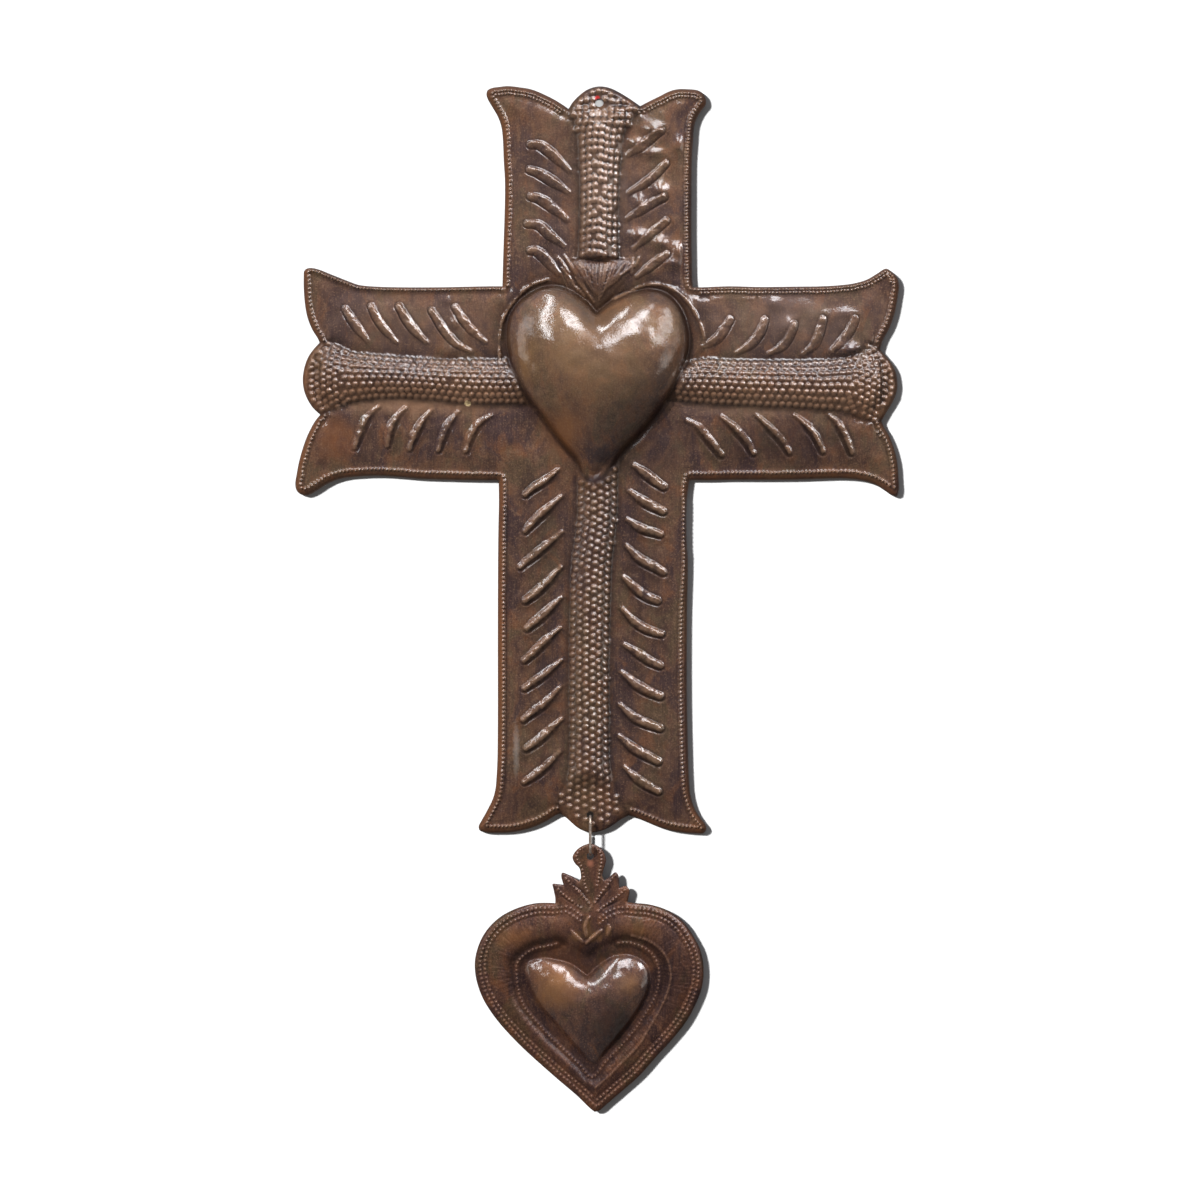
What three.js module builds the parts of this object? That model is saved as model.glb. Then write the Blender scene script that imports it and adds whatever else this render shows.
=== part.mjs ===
// Wall cross of hammered drum steel with a raised heart, and a flaming-heart
// pendant that hangs from it on a wire link.
//
// Frame: millimetres, +Z up, the front faces -Y, the origin is the centre of the
// nail hole in the middle of the sheet's thickness.
// Outlines are drawn on a square grid: one grid unit is UNIT millimetres, u runs
// to the right and v runs down, and (NAIL_U, NAIL_V) is the nail hole.
import * as THREE from "three";

// ---------------------------------------------------------------- dimensions
const UNIT = 0.42; // mm in one grid unit
const NAIL_U = 600; // nail hole on the grid
const NAIL_V = 103.5;

const SHEET = 1.0; // thickness of the drum steel
const NAIL_HOLE_D = 3.6;
const LINK_HOLE_D = 3.0; // holes that the wire link runs through
const LINK_HOLE_U = 591; // both link holes stand on one vertical
const CROSS_HOLE_V = 815.5;
const PENDANT_HOLE_V = 857;

const RIM_DROP = 3.0; // how far the cut edge is turned back
const RIM_CREST = 0.4; // the beaded crest just inside the edge
const RIM_CREST_AT = 2.2; // crest's distance from the edge
const RIM_WIDTH = 4.8; // where the border meets the flat ground
const LOBE_DROP = 1.2; // edge drop at the bottom lobe, where the link passes
const SPINE_RISE = 2.6; // pebbled ridges along the four arms
const HEART_RISE = 16.0; // big raised heart
const FLAME_RISE = 2.4; // flame over the heart

const PENDANT_RIM_DROP = 2.0;
const PENDANT_DISH = 1.6; // depth of the dished flange
const PENDANT_RING = 0.8; // beaded ridge round the small heart
const PENDANT_RISE = 7.5; // small raised heart

const WIRE_D = 1.2; // wire of the link
const LINK_R = 3.2; // bend radius at both ends of the link, wire centre-line
const LINK_PLAY = 0.25; // gap between wire and hole edge
const LINK_BUTT = 0.4; // gap between the wire's butted ends
const WIRE_SIDES = 8;

const CROSS_EDGE_STEP = 4.2; // spacing of points along the edge
const CROSS_FILL_STEP = 9.0; // spacing of points on plain ground
const PENDANT_EDGE_STEP = 3.0;
const PENDANT_FILL_STEP = 5.0;

const X = (u) => (u - NAIL_U) * UNIT;
const Z = (v) => (NAIL_V - v) * UNIT;
const place = (list) => list.map(([u, v]) => [X(u), Z(v)]);

// ------------------------------------------------------------------ outlines
// Each outline is a list of runs. A run is a smooth curve, and runs meet in corners.
const CROSS_RUNS = [
  // top arm, left side, then its left flare to the notch
  [[503, 286.5], [503.7, 260], [505, 220], [505.5, 200], [505.5, 180], [504.3, 160], [503.5, 140], [502, 127], [498.6, 117], [493.4, 107.8], [488.8, 100], [487, 95], [488, 90.4], [492.3, 88], [500, 86.8], [508.3, 86], [520, 87.2], [532, 89.3], [545, 94.5], [557, 100.7], [566.5, 107], [569, 109.3]],
  // top lobe
  [[569, 109.3], [573, 102.7], [580, 95.4], [587.7, 89.8], [596, 86.8], [603.2, 86.4], [611.5, 88.2], [620, 92.3], [630, 98.4], [638, 104], [641, 106]],
  // right flare and right side of the top arm
  [[641, 106], [649, 101.8], [660, 96.4], [670, 91.4], [678, 89.2], [690, 89.2], [699, 90.4], [704.5, 94], [707, 99.7], [706.5, 105], [701, 112.5], [696, 123], [694, 141], [692.8, 160], [692.5, 200], [692.5, 240], [693.3, 280], [694, 287]],
  // right arm, upper side
  [[694, 287], [700, 287.5], [730, 286.5], [760, 287.2], [800, 286.8], [820, 286.6], [840, 285.5], [855, 283.6], [868, 279.8], [878, 274], [887, 268.8], [892.3, 271.5], [897.5, 276.5], [899.5, 281], [900.3, 286], [898.5, 300], [896.7, 310], [894, 320], [890, 330], [884.5, 340], [881.3, 349.7]],
  // right lobe
  [[881.3, 349.7], [886.5, 355.8], [892.3, 363], [896.5, 370.8], [898.3, 380], [898.6, 388], [896.4, 397], [892.6, 405], [887.7, 412.7], [882.8, 421.5]],
  // right arm, lower side
  [[882.8, 421.5], [885, 427], [889, 433.5], [893.7, 444], [897, 455], [899, 466], [899.8, 478], [900.2, 490], [898, 497], [892.7, 495.7], [886.5, 491.5], [877.3, 485.7], [866.5, 481.8], [855, 479.8], [840, 479], [820, 479.5], [800, 480.2], [760, 480.5], [730, 480.5], [710, 481], [690.5, 481]],
  // shaft, right side and right flare
  [[690.5, 481], [688, 500], [687.5, 540], [688.8, 560], [688, 620], [688, 700], [690, 780], [691, 793.5], [693.2, 803], [696.5, 811.5], [702.3, 820.5], [706, 825], [707.3, 830], [704.5, 834.3], [697, 834.6], [685, 833.7], [672.3, 831.8], [660.5, 828.4], [648.5, 823.5], [636.5, 818.6], [629.5, 816.7]],
  // bottom lobe
  [[629.5, 816.7], [622.3, 820], [615.5, 824.8], [608, 829.4], [599.5, 832.3], [592.3, 833.4], [586, 832.3], [579, 829], [572.3, 823.4], [566, 817.8], [561, 814.8]],
  // left flare and left side of the shaft
  [[561, 814.8], [557, 816], [550, 820.5], [538.5, 826.5], [525, 831], [512, 833.4], [500, 834], [486, 833.6], [480.3, 831.5], [479.2, 827.2], [481.7, 822.3], [487.7, 811.5], [493.3, 800], [496, 790], [497.3, 775], [498, 760], [498.4, 720], [498.4, 620], [498.8, 540], [499.5, 500], [499.2, 481.2]],
  // left arm, lower side
  [[499.2, 481.2], [480, 481.2], [450, 480.5], [420, 479.5], [400, 477.8], [380, 476.6], [360, 477.1], [345, 478.6], [335, 481.3], [326, 485.6], [318.2, 490.7], [311, 494.8], [306, 496.2], [300, 494.3], [296.6, 490.4], [295.5, 484.5], [297, 474.5], [299.1, 463.2], [302.1, 452], [306.1, 440], [310.4, 430.4], [315.5, 421.4], [320.5, 415.2]],
  // left lobe
  [[320.5, 415.2], [313.2, 408.2], [308, 400.2], [304.5, 391.4], [303.1, 382.3], [303.5, 374], [305.5, 365], [309, 356.5], [314, 349.5], [319.9, 343]],
  // left arm, upper side
  [[319.9, 343], [318, 338.6], [313.4, 331.4], [309.1, 321.9], [306.4, 311.9], [304.8, 300], [304.1, 290], [304, 278.2], [304.6, 271], [307.7, 268.6], [313.2, 268.3], [320, 270], [330, 274], [340, 278], [350, 281.9], [358.2, 284.9], [365, 286], [380, 287], [400, 287.5], [440, 287.5], [470, 286.9], [490, 286.5], [503, 286.5]],
];

const PENDANT_RUNS = [
  // tab, right side down to the neck
  [[590.5, 844], [598, 846.5], [604, 852], [606.8, 861], [604, 871], [603.2, 877.5], [605.4, 881]],
  // right leaves
  [[605.4, 881], [610.8, 877.3], [616.3, 872.9], [619.3, 876.5], [620, 888.9]],
  [[620, 888.9], [623.5, 887.2], [627, 886.8], [630.3, 891], [629.5, 897], [628, 903]],
  // right half of the heart
  [[628, 903], [637, 904], [648, 905], [662, 908.6], [674.7, 914.8], [685.7, 924.4], [693.8, 936.5], [700, 948], [703.7, 961.5], [704.4, 975], [702.5, 989.5], [696.3, 1005.7], [686.2, 1024], [672.3, 1041.3], [657, 1058], [640, 1077], [622.3, 1092.7], [608.3, 1104.7], [600, 1111.7], [595.3, 1113]],
  // left half of the heart
  [[595.3, 1113], [589.7, 1108.4], [578, 1097], [559.7, 1081.4], [541, 1065], [525, 1050.4], [510.7, 1036], [500, 1024], [491, 1012], [483.8, 1000], [479, 988], [476, 975], [475.5, 962.4], [478, 950], [483, 938], [491, 926.8], [502, 917.2], [514, 910.7], [526, 906.4], [537.5, 904], [548, 903.7], [556, 904]],
  // left leaves
  [[556, 904], [556, 898.9], [554, 889], [553.2, 884.7], [558.6, 884.9], [564.2, 885.5]],
  [[564.2, 885.5], [562, 877], [562.8, 873.5], [569, 875.4], [575, 878.3], [579.3, 881.6]],
  // tab, left side
  [[579.3, 881.6], [581.4, 879.5], [581.4, 874], [580, 868.6], [576, 864.5], [573.2, 858.2], [577, 851.2], [583.5, 846.5], [590.5, 844]],
];

// raised heart, its cleft first
const HEART = place([
  [597.7, 312.3], [609, 302.5], [621.8, 295.4], [636, 291], [650, 289], [664.6, 291.8], [677, 300.7], [686, 315], [690.5, 333], [690.5, 349], [686, 365], [677, 384.6], [666.4, 404], [654, 422], [641.4, 436.4], [627, 450.7], [614.6, 466.8], [602, 479], [593, 482], [584, 477], [577, 463], [568, 452.5], [557.5, 440], [546.8, 425.7], [536, 411.4], [525.4, 395], [516.4, 377.5], [510, 361], [506.6, 345], [506.6, 329], [510, 315], [518, 302.5], [529, 293.6], [541.4, 287.3], [554, 285.5], [566.4, 288], [577, 293.6], [588, 301],
]);

// pebbled ridges: both borders of each band, from the end lobe towards the heart
const SPINES = [
  { a: [[569, 109], [572, 118], [575, 130], [577, 142], [578, 160], [579, 180], [579, 220], [578, 250]], b: [[641, 106], [637, 116], [632, 126], [626, 136], [624, 150], [622, 165], [620, 220], [620, 250]] },
  { a: [[320, 343], [340, 344], [350, 350.8], [380, 355], [440, 359], [500, 359.5], [530, 359.5]], b: [[320.5, 415], [330, 413], [345, 407], [370, 401.5], [400, 400], [440, 402.5], [480, 406], [530, 406]] },
  { a: [[881, 349.7], [870, 346], [860, 352.5], [840, 358], [820, 360], [740, 360], [665, 360]], b: [[882.8, 421.5], [870, 423], [850, 415.8], [820, 411.7], [770, 409], [710, 405.8], [665, 401]] },
  { a: [[561, 815], [559, 800], [566, 780], [569, 760], [569, 640], [571, 560], [577, 520], [577, 455]], b: [[629.5, 816.7], [620, 800], [615, 780], [611, 760], [611, 640], [614, 560], [618, 520], [620, 455]] },
].map(({ a, b }) => ({ a: place(a), b: place(b) }));

const FLAME = place([[568, 262], [641, 262], [622, 285], [600, 309], [583, 288]]);

// small raised heart of the pendant, cleft first, and the beaded ridge round it
const SMALL_HEART = place([
  [587.8, 976], [595, 969.4], [604.9, 961.3], [616, 955.6], [627.6, 954.8], [639, 958], [648.8, 966], [652, 977.6], [650.4, 990.6], [643.9, 1005], [632.5, 1023], [621, 1037.7], [608, 1052.4], [595, 1065.4], [582, 1055.6], [569, 1041], [556, 1026.4], [543, 1011.7], [533.3, 997], [527.6, 984], [525.2, 972.7], [527.6, 963], [543, 958], [556, 959.7], [569, 963], [578.8, 968.6],
]);
const SMALL_RING = place([
  [588, 946], [603, 945], [618.7, 944], [628, 943.3], [641, 947], [652, 954.4], [657.6, 963], [659.8, 975.7], [658.5, 988.7], [654, 1001.7], [645.6, 1015.6], [634.4, 1032], [620.6, 1048], [604.8, 1064.6], [592.8, 1078], [580, 1065.6], [565, 1051.7], [550, 1037], [537, 1023], [524, 1006], [519, 992], [517.4, 977.6], [517.8, 964.6], [524.3, 956.3], [535.4, 949.8], [548.3, 947], [557.6, 944.6], [573, 945],
]);

// --------------------------------------------------------------- plane tools
const hypot = Math.hypot;
const smooth = (t) => {
  const c = Math.min(1, Math.max(0, t));
  return c * c * (3 - 2 * c);
};

// Points along the runs at even steps. Corners between runs are kept.
function sampleRuns(runs, step) {
  const out = [];
  for (const run of runs) {
    const curve = new THREE.CatmullRomCurve3(
      place(run).map(([x, z]) => new THREE.Vector3(x, 0, z)),
      false,
      "centripetal",
    );
    const n = Math.max(2, Math.round(curve.getLength() / step));
    curve.getSpacedPoints(n).slice(0, n).forEach((p) => out.push([p.x, p.z]));
  }
  return out;
}

function inside(poly, x, z) {
  let odd = false;
  for (let i = 0, j = poly.length - 1; i < poly.length; j = i++) {
    const [xi, zi] = poly[i];
    const [xj, zj] = poly[j];
    if (zi > z !== zj > z && x < ((xj - xi) * (z - zi)) / (zj - zi) + xi) odd = !odd;
  }
  return odd;
}

function toSegment(x, z, [ax, az], [bx, bz]) {
  const dx = bx - ax;
  const dz = bz - az;
  const t = Math.min(1, Math.max(0, ((x - ax) * dx + (z - az) * dz) / (dx * dx + dz * dz || 1)));
  return hypot(x - ax - t * dx, z - az - t * dz);
}

function toLine(line, x, z, closed) {
  let best = Infinity;
  const n = line.length;
  for (let i = 0; i < (closed ? n : n - 1); i++)
    best = Math.min(best, toSegment(x, z, line[i], line[(i + 1) % n]));
  return best;
}

const circle = (x, z, d, n) =>
  Array.from({ length: n }, (_, i) => [
    x + (d / 2) * Math.cos((2 * Math.PI * i) / n),
    z + (d / 2) * Math.sin((2 * Math.PI * i) / n),
  ]);

// Height of a puffed-out patch, 0 on its outline and 1 at its top: the shape that
// an even pressure from behind gives to a skin held at the outline.
function puff(poly, cell = 1.2, power = 0.62) {
  const xs = poly.map((p) => p[0]);
  const zs = poly.map((p) => p[1]);
  const x0 = Math.min(...xs) - cell;
  const z0 = Math.min(...zs) - cell;
  const nx = Math.ceil((Math.max(...xs) - x0) / cell) + 2;
  const nz = Math.ceil((Math.max(...zs) - z0) / cell) + 2;
  const inn = new Uint8Array(nx * nz);
  const u = new Float64Array(nx * nz);
  for (let j = 0; j < nz; j++)
    for (let i = 0; i < nx; i++) inn[j * nx + i] = inside(poly, x0 + i * cell, z0 + j * cell) ? 1 : 0;
  for (let k = 0; k < 400; k++)
    for (let j = 1; j < nz - 1; j++)
      for (let i = 1; i < nx - 1; i++) {
        const c = j * nx + i;
        if (!inn[c]) continue;
        const next = (u[c - 1] + u[c + 1] + u[c - nx] + u[c + nx] + 1) / 4;
        u[c] += 1.88 * (next - u[c]);
      }
  const top = Math.max(...u);
  return (x, z) => {
    const fi = (x - x0) / cell;
    const fj = (z - z0) / cell;
    const i = Math.floor(fi);
    const j = Math.floor(fj);
    if (i < 0 || j < 0 || i >= nx - 1 || j >= nz - 1) return 0;
    const s = fi - i;
    const t = fj - j;
    const c = j * nx + i;
    const v = (1 - t) * ((1 - s) * u[c] + s * u[c + 1]) + t * ((1 - s) * u[c + nx] + s * u[c + nx + 1]);
    return Math.pow(Math.max(0, v) / top, power);
  };
}

// Delaunay triangulation of plane points, as index triples.
function delaunay(points) {
  const n = points.length;
  const far = 1e4;
  const p = [...points, [-far, -far], [far, -far], [0, far]];
  const circum = (a, b, c) => {
    const [ax, ay] = p[a];
    const bx = p[b][0] - ax;
    const by = p[b][1] - ay;
    const cx = p[c][0] - ax;
    const cy = p[c][1] - ay;
    const d = 2 * (bx * cy - by * cx);
    const ux = (cy * (bx * bx + by * by) - by * (cx * cx + cy * cy)) / d;
    const uy = (bx * (cx * cx + cy * cy) - cx * (bx * bx + by * by)) / d;
    return { v: [a, b, c], x: ax + ux, y: ay + uy, r: ux * ux + uy * uy };
  };
  const order = points.map((_, i) => i).sort((a, b) => p[a][0] - p[b][0]);
  let open = [circum(n, n + 1, n + 2)];
  const done = [];
  for (const i of order) {
    const [x, y] = p[i];
    const edges = new Map();
    const kept = [];
    for (const t of open) {
      const dx = x - t.x;
      if (dx > 0 && dx * dx > t.r) {
        done.push(t);
        continue;
      }
      if (dx * dx + (y - t.y) ** 2 > t.r) {
        kept.push(t);
        continue;
      }
      for (const [a, b] of [[0, 1], [1, 2], [2, 0]]) {
        const lo = Math.min(t.v[a], t.v[b]);
        const hi = Math.max(t.v[a], t.v[b]);
        const key = lo * 100000 + hi;
        edges.set(key, edges.has(key) ? null : [t.v[a], t.v[b]]);
      }
    }
    for (const e of edges.values()) if (e) kept.push(circum(e[0], e[1], i));
    open = kept;
  }
  return [...done, ...open].map((t) => t.v).filter((v) => v.every((k) => k < n));
}

// ------------------------------------------------------------ sheet-metal body
// One closed skin of even thickness: front face at y = -height, back face behind
// it, and the cut edge round the outline and the holes.
function sheetBody({ outline, holes, lines, fillStep, height }) {
  const points = [...outline];
  holes.forEach((h) => points.push(...h));
  const fixed = points.length;
  const clear = (x, z, gap) => points.every(([a, b], i) => hypot(a - x, b - z) > (i < fixed ? Math.min(gap, 2.0) : gap));
  const fits = (x, z, edge) =>
    inside(outline, x, z) &&
    toLine(outline, x, z, true) > edge &&
    holes.every((h) => !inside(h, x, z) && toLine(h, x, z, true) > 1.3);
  for (const { pts, gap, edge } of lines)
    for (const [x, z] of pts) if (fits(x, z, edge) && clear(x, z, gap)) points.push([x, z]);
  const xs = outline.map((p) => p[0]);
  const zs = outline.map((p) => p[1]);
  const rowStep = fillStep * 0.866;
  let row = 0;
  for (let z = Math.min(...zs); z < Math.max(...zs); z += rowStep, row++)
    for (let x = Math.min(...xs) + (row % 2) * fillStep * 0.5; x < Math.max(...xs); x += fillStep) {
      const jx = x + 0.05 * Math.sin(12.9 * x + 4.1 * z);
      const jz = z + 0.05 * Math.sin(7.7 * z - 3.3 * x);
      if (fits(jx, jz, 2.4) && clear(jx, jz, fillStep * 0.62)) points.push([jx, jz]);
    }

  const tris = [];
  for (const [a, b, c] of delaunay(points)) {
    const [ax, az] = points[a];
    const [bx, bz] = points[b];
    const [cx, cz] = points[c];
    const mx = (ax + bx + cx) / 3;
    const mz = (az + bz + cz) / 3;
    if (!inside(outline, mx, mz) || holes.some((h) => inside(h, mx, mz))) continue;
    tris.push((bx - ax) * (cz - az) - (bz - az) * (cx - ax) > 0 ? [a, b, c] : [a, c, b]);
  }

  const n = points.length;
  const verts = new Float32Array(n * 6);
  const eps = 0.4;
  points.forEach(([x, z], i) => {
    const h = height(x, z);
    const slope = hypot(height(x + eps, z) - height(x - eps, z), height(x, z + eps) - height(x, z - eps)) / (2 * eps);
    const thick = SHEET * Math.min(1.6, Math.sqrt(1 + slope * slope));
    verts.set([x, -h, z], i * 3);
    verts.set([x, -h + (i < fixed ? SHEET : thick), z], (n + i) * 3);
  });
  const index = [];
  const edges = new Map();
  for (const [a, b, c] of tris) {
    index.push(a, b, c, n + a, n + c, n + b);
    for (const [p, q] of [[a, b], [b, c], [c, a]]) {
      const key = Math.min(p, q) * 100000 + Math.max(p, q);
      edges.set(key, edges.has(key) ? null : [p, q]);
    }
  }
  for (const e of edges.values()) if (e) index.push(e[1], e[0], n + e[0], e[1], n + e[0], n + e[1]);
  const g = new THREE.BufferGeometry();
  g.setAttribute("position", new THREE.BufferAttribute(verts, 3));
  g.setIndex(index);
  g.computeVertexNormals();
  return g;
}

// Points at a set distance inside an outline.
function insetRing(outline, dist, share) {
  const n = outline.length;
  const ring = [];
  for (let i = 0; i < n; i++) {
    const a = outline[(i + n - 1) % n];
    const b = outline[(i + 1) % n];
    const l = hypot(b[0] - a[0], b[1] - a[1]);
    for (const s of [1, -1]) {
      const x = outline[i][0] + (s * dist * -(b[1] - a[1])) / l;
      const z = outline[i][1] + (s * dist * (b[0] - a[0])) / l;
      if (inside(outline, x, z) && toLine(outline, x, z, true) > dist * share) ring.push([x, z]);
    }
  }
  return ring;
}

// Points along a line at even steps.
function along(line, step, closed = false) {
  const curve = new THREE.CatmullRomCurve3(line.map(([x, z]) => new THREE.Vector3(x, 0, z)), closed, "centripetal");
  return curve.getSpacedPoints(Math.max(2, Math.round(curve.getLength() / step))).map((p) => [p.x, p.z]);
}

// -------------------------------------------------------------------- cross
const crossOutline = sampleRuns(CROSS_RUNS, CROSS_EDGE_STEP);
const linkX = X(LINK_HOLE_U);
const crossHoleZ = Z(CROSS_HOLE_V);
const pendantHoleZ = Z(PENDANT_HOLE_V);
const heartPuff = puff(HEART);
const flamePuff = puff(FLAME, 0.8, 0.5);
const spineBands = SPINES.map(({ a, b }) => ({
  poly: [...a, ...[...b].reverse()],
  a,
  b,
  mid: along(a, 6).map(([x, z]) => {
    let best = b[0];
    let d = Infinity;
    for (const q of along(b, 1.5)) {
      const e = hypot(q[0] - x, q[1] - z);
      if (e < d) [best, d] = [q, e];
    }
    return [(x + best[0]) / 2, (z + best[1]) / 2];
  }),
}));

function crossHeight(x, z) {
  const d = toLine(crossOutline, x, z, true);
  const nearLink = smooth((hypot(x - linkX, z - crossHoleZ) / UNIT - 18) / 27);
  const nearNail = smooth((hypot(x, z) / UNIT - 6) / 16);
  const drop = LOBE_DROP + (RIM_DROP - LOBE_DROP) * nearLink;
  let h =
    d < RIM_CREST_AT
      ? -drop + (drop + RIM_CREST) * Math.sqrt(1 - (1 - d / RIM_CREST_AT) ** 2)
      : RIM_CREST * (1 - smooth((d - RIM_CREST_AT) / (RIM_WIDTH - RIM_CREST_AT)));
  for (const { poly, a, b } of spineBands)
    if (inside(poly, x, z)) {
      const da = toLine(a, x, z, false);
      const db = toLine(b, x, z, false);
      const t = (da - db) / (da + db);
      const ends = smooth((d - 1.5) / 9);
      const at = Math.min(nearLink, nearNail);
      h += SPINE_RISE * Math.sqrt(Math.max(0, 1 - t * t)) * ends * at;
    }
  // the sheet lies flat round both holes, its middle in the plane y = 0
  const flat = (1 - Math.min(nearLink, nearNail)) * smooth((d - 1) / 3);
  h += (0.5 - h) * flat;
  const flame = FLAME_RISE * flamePuff(x, z);
  const heart = HEART_RISE * heartPuff(x, z);
  if (flame > 0) h = Math.max(h, flame);
  return heart > 0 ? Math.max(h, heart) : h;
}

const heartMid = HEART.reduce(([x, z], p) => [x + p[0] / HEART.length, z + p[1] / HEART.length], [0, 0]);
const heartRing = (k) =>
  along(HEART.map(([x, z]) => [heartMid[0] + k * (x - heartMid[0]), heartMid[1] + k * (z - heartMid[1])]), 5.5 + 1.5 * (1 - k), true);

const crossSheet = sheetBody({
  outline: crossOutline,
  holes: [circle(0, 0, NAIL_HOLE_D, 12), circle(linkX, crossHoleZ, LINK_HOLE_D, 12)],
  fillStep: CROSS_FILL_STEP,
  height: crossHeight,
  lines: [
    { pts: insetRing(crossOutline, RIM_CREST_AT, 0.9), gap: 2.0, edge: 1.9 },
    { pts: insetRing(crossOutline, RIM_WIDTH, 0.93), gap: 2.6, edge: 4.2 },
    ...[1, 0.93, 0.8, 0.62, 0.4, 0.2].map((k) => ({ pts: heartRing(k), gap: 2.6, edge: 3.0 })),
    ...spineBands.map(({ mid }) => ({ pts: mid.filter(([x, z]) => !inside(HEART, x, z)), gap: 3.6, edge: 3.0 })),
    ...spineBands.flatMap(({ a, b }) => [a, b].map((l) => ({ pts: along(l, 6).filter(([x, z]) => !inside(HEART, x, z)), gap: 3.6, edge: 3.0 }))),
    { pts: along(FLAME, 5, true), gap: 3.0, edge: 3.0 },
  ],
});

// ------------------------------------------------------------------- pendant
const pendantOutline = sampleRuns(PENDANT_RUNS, PENDANT_EDGE_STEP);
const smallPuff = puff(SMALL_HEART, 0.8);

function pendantHeight(x, z) {
  const d = toLine(pendantOutline, x, z, true);
  const body = smooth((Z(893) - z) / (UNIT * 26)); // 0 on tab and leaves, 1 on the heart
  const drop = 0.6 + (PENDANT_RIM_DROP - 0.6) * body;
  let h = d < 2 ? 0.5 - drop * (1 - Math.sqrt(1 - (1 - d / 2) ** 2)) : 0.5;
  const inRing = inside(SMALL_RING, x, z);
  const r = toLine(SMALL_RING, x, z, true);
  const out = inRing ? 0 : r;
  const flange = smooth((d - 3.5) / 5) * body;
  const ring = Math.exp(-((r / 1.6) ** 2));
  h -= PENDANT_DISH * flange * (inRing ? 1 : 0.45 + 0.55 * (1 - smooth(out / 14)));
  h += PENDANT_RING * ring * body;
  return inside(SMALL_HEART, x, z) ? h + (PENDANT_RISE - 0.5 + PENDANT_DISH) * smallPuff(x, z) : h;
}

const smallMid = SMALL_HEART.reduce(([x, z], p) => [x + p[0] / SMALL_HEART.length, z + p[1] / SMALL_HEART.length], [0, 0]);
const smallRingAt = (k) =>
  along(SMALL_HEART.map(([x, z]) => [smallMid[0] + k * (x - smallMid[0]), smallMid[1] + k * (z - smallMid[1])]), 4, true);

const pendantSheet = sheetBody({
  outline: pendantOutline,
  holes: [circle(linkX, pendantHoleZ, LINK_HOLE_D, 12)],
  fillStep: PENDANT_FILL_STEP,
  height: pendantHeight,
  lines: [
    { pts: insetRing(pendantOutline, 2.0, 0.9), gap: 1.8, edge: 1.7 },
    { pts: along(SMALL_RING, 3.5, true), gap: 2.2, edge: 2.2 },
    ...[1, 0.85, 0.6, 0.3].map((k) => ({ pts: smallRingAt(k), gap: 2.2, edge: 2.2 })),
  ],
});

// ---------------------------------------------------------------- wire link
// A long loop of wire across the sheet: through the hole of the cross, down in
// front, through the tab of the pendant and up behind, with its ends butted.
const linkTop = crossHoleZ - LINK_HOLE_D / 2 + WIRE_D / 2 + LINK_PLAY;
const linkBottom = pendantHoleZ + LINK_HOLE_D / 2 - WIRE_D / 2 - LINK_PLAY;
const upperBend = linkTop - LINK_R;
const lowerBend = linkBottom + LINK_R;
const joinZ = (upperBend + lowerBend) / 2;

class LinkPath extends THREE.Curve {
  constructor() {
    super();
    this.straight = upperBend - lowerBend;
    this.bend = Math.PI * LINK_R;
    this.total = 2 * this.straight + 2 * this.bend - LINK_BUTT;
  }
  getPoint(t, target = new THREE.Vector3()) {
    let s = t * this.total + LINK_BUTT / 2;
    const half = this.straight / 2;
    if (s < half) return target.set(linkX, LINK_R, joinZ + s);
    s -= half;
    if (s < this.bend) {
      const w = s / LINK_R;
      return target.set(linkX, LINK_R * Math.cos(w), upperBend + LINK_R * Math.sin(w));
    }
    s -= this.bend;
    if (s < this.straight) return target.set(linkX, -LINK_R, upperBend - s);
    s -= this.straight;
    if (s < this.bend) {
      const w = s / LINK_R;
      return target.set(linkX, -LINK_R * Math.cos(w), lowerBend - LINK_R * Math.sin(w));
    }
    s -= this.bend;
    return target.set(linkX, LINK_R, lowerBend + s);
  }
}

const wireSection = new THREE.Shape(
  circle(0, 0, WIRE_D, WIRE_SIDES).map(([a, b]) => new THREE.Vector2(a, b)),
);
const link = new THREE.ExtrudeGeometry(wireSection, {
  extrudePath: new LinkPath(),
  steps: 52,
  bevelEnabled: false,
});

// ------------------------------------------------------------------ assembly
const patina = new THREE.MeshStandardMaterial({ color: 0x55402f, roughness: 0.38, metalness: 0.85 });
const pendantPatina = new THREE.MeshStandardMaterial({ color: 0x4a3226, roughness: 0.4, metalness: 0.85 });
const wire = new THREE.MeshStandardMaterial({ color: 0x9a8a7d, roughness: 0.4, metalness: 1.0 });

const piece = (name, geometry, material) => {
  const mesh = new THREE.Mesh(geometry, material);
  mesh.name = name;
  return mesh;
};

const ornament = new THREE.Group();
ornament.add(piece("cross_sheet", crossSheet, patina));
const hanging = new THREE.Group();
hanging.add(piece("wire_link", link, wire));
hanging.add(piece("heart_pendant", pendantSheet, pendantPatina));
ornament.add(hanging);

export default ornament;
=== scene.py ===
"""Looks of a hammered steel wall cross with a raised heart and a hanging heart pendant.

Every outline is drawn on a square grid: one unit is UNIT metres, u runs right and v runs
down, and the nail hole (U0, V0) is the frame's origin. Heights are in millimetres,
towards the viewer. The front faces -Y and +Z is up.
"""
import math

import bpy
import numpy as np
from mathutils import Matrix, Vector
from mathutils.geometry import delaunay_2d_cdt
from mathutils.kdtree import KDTree


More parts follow.
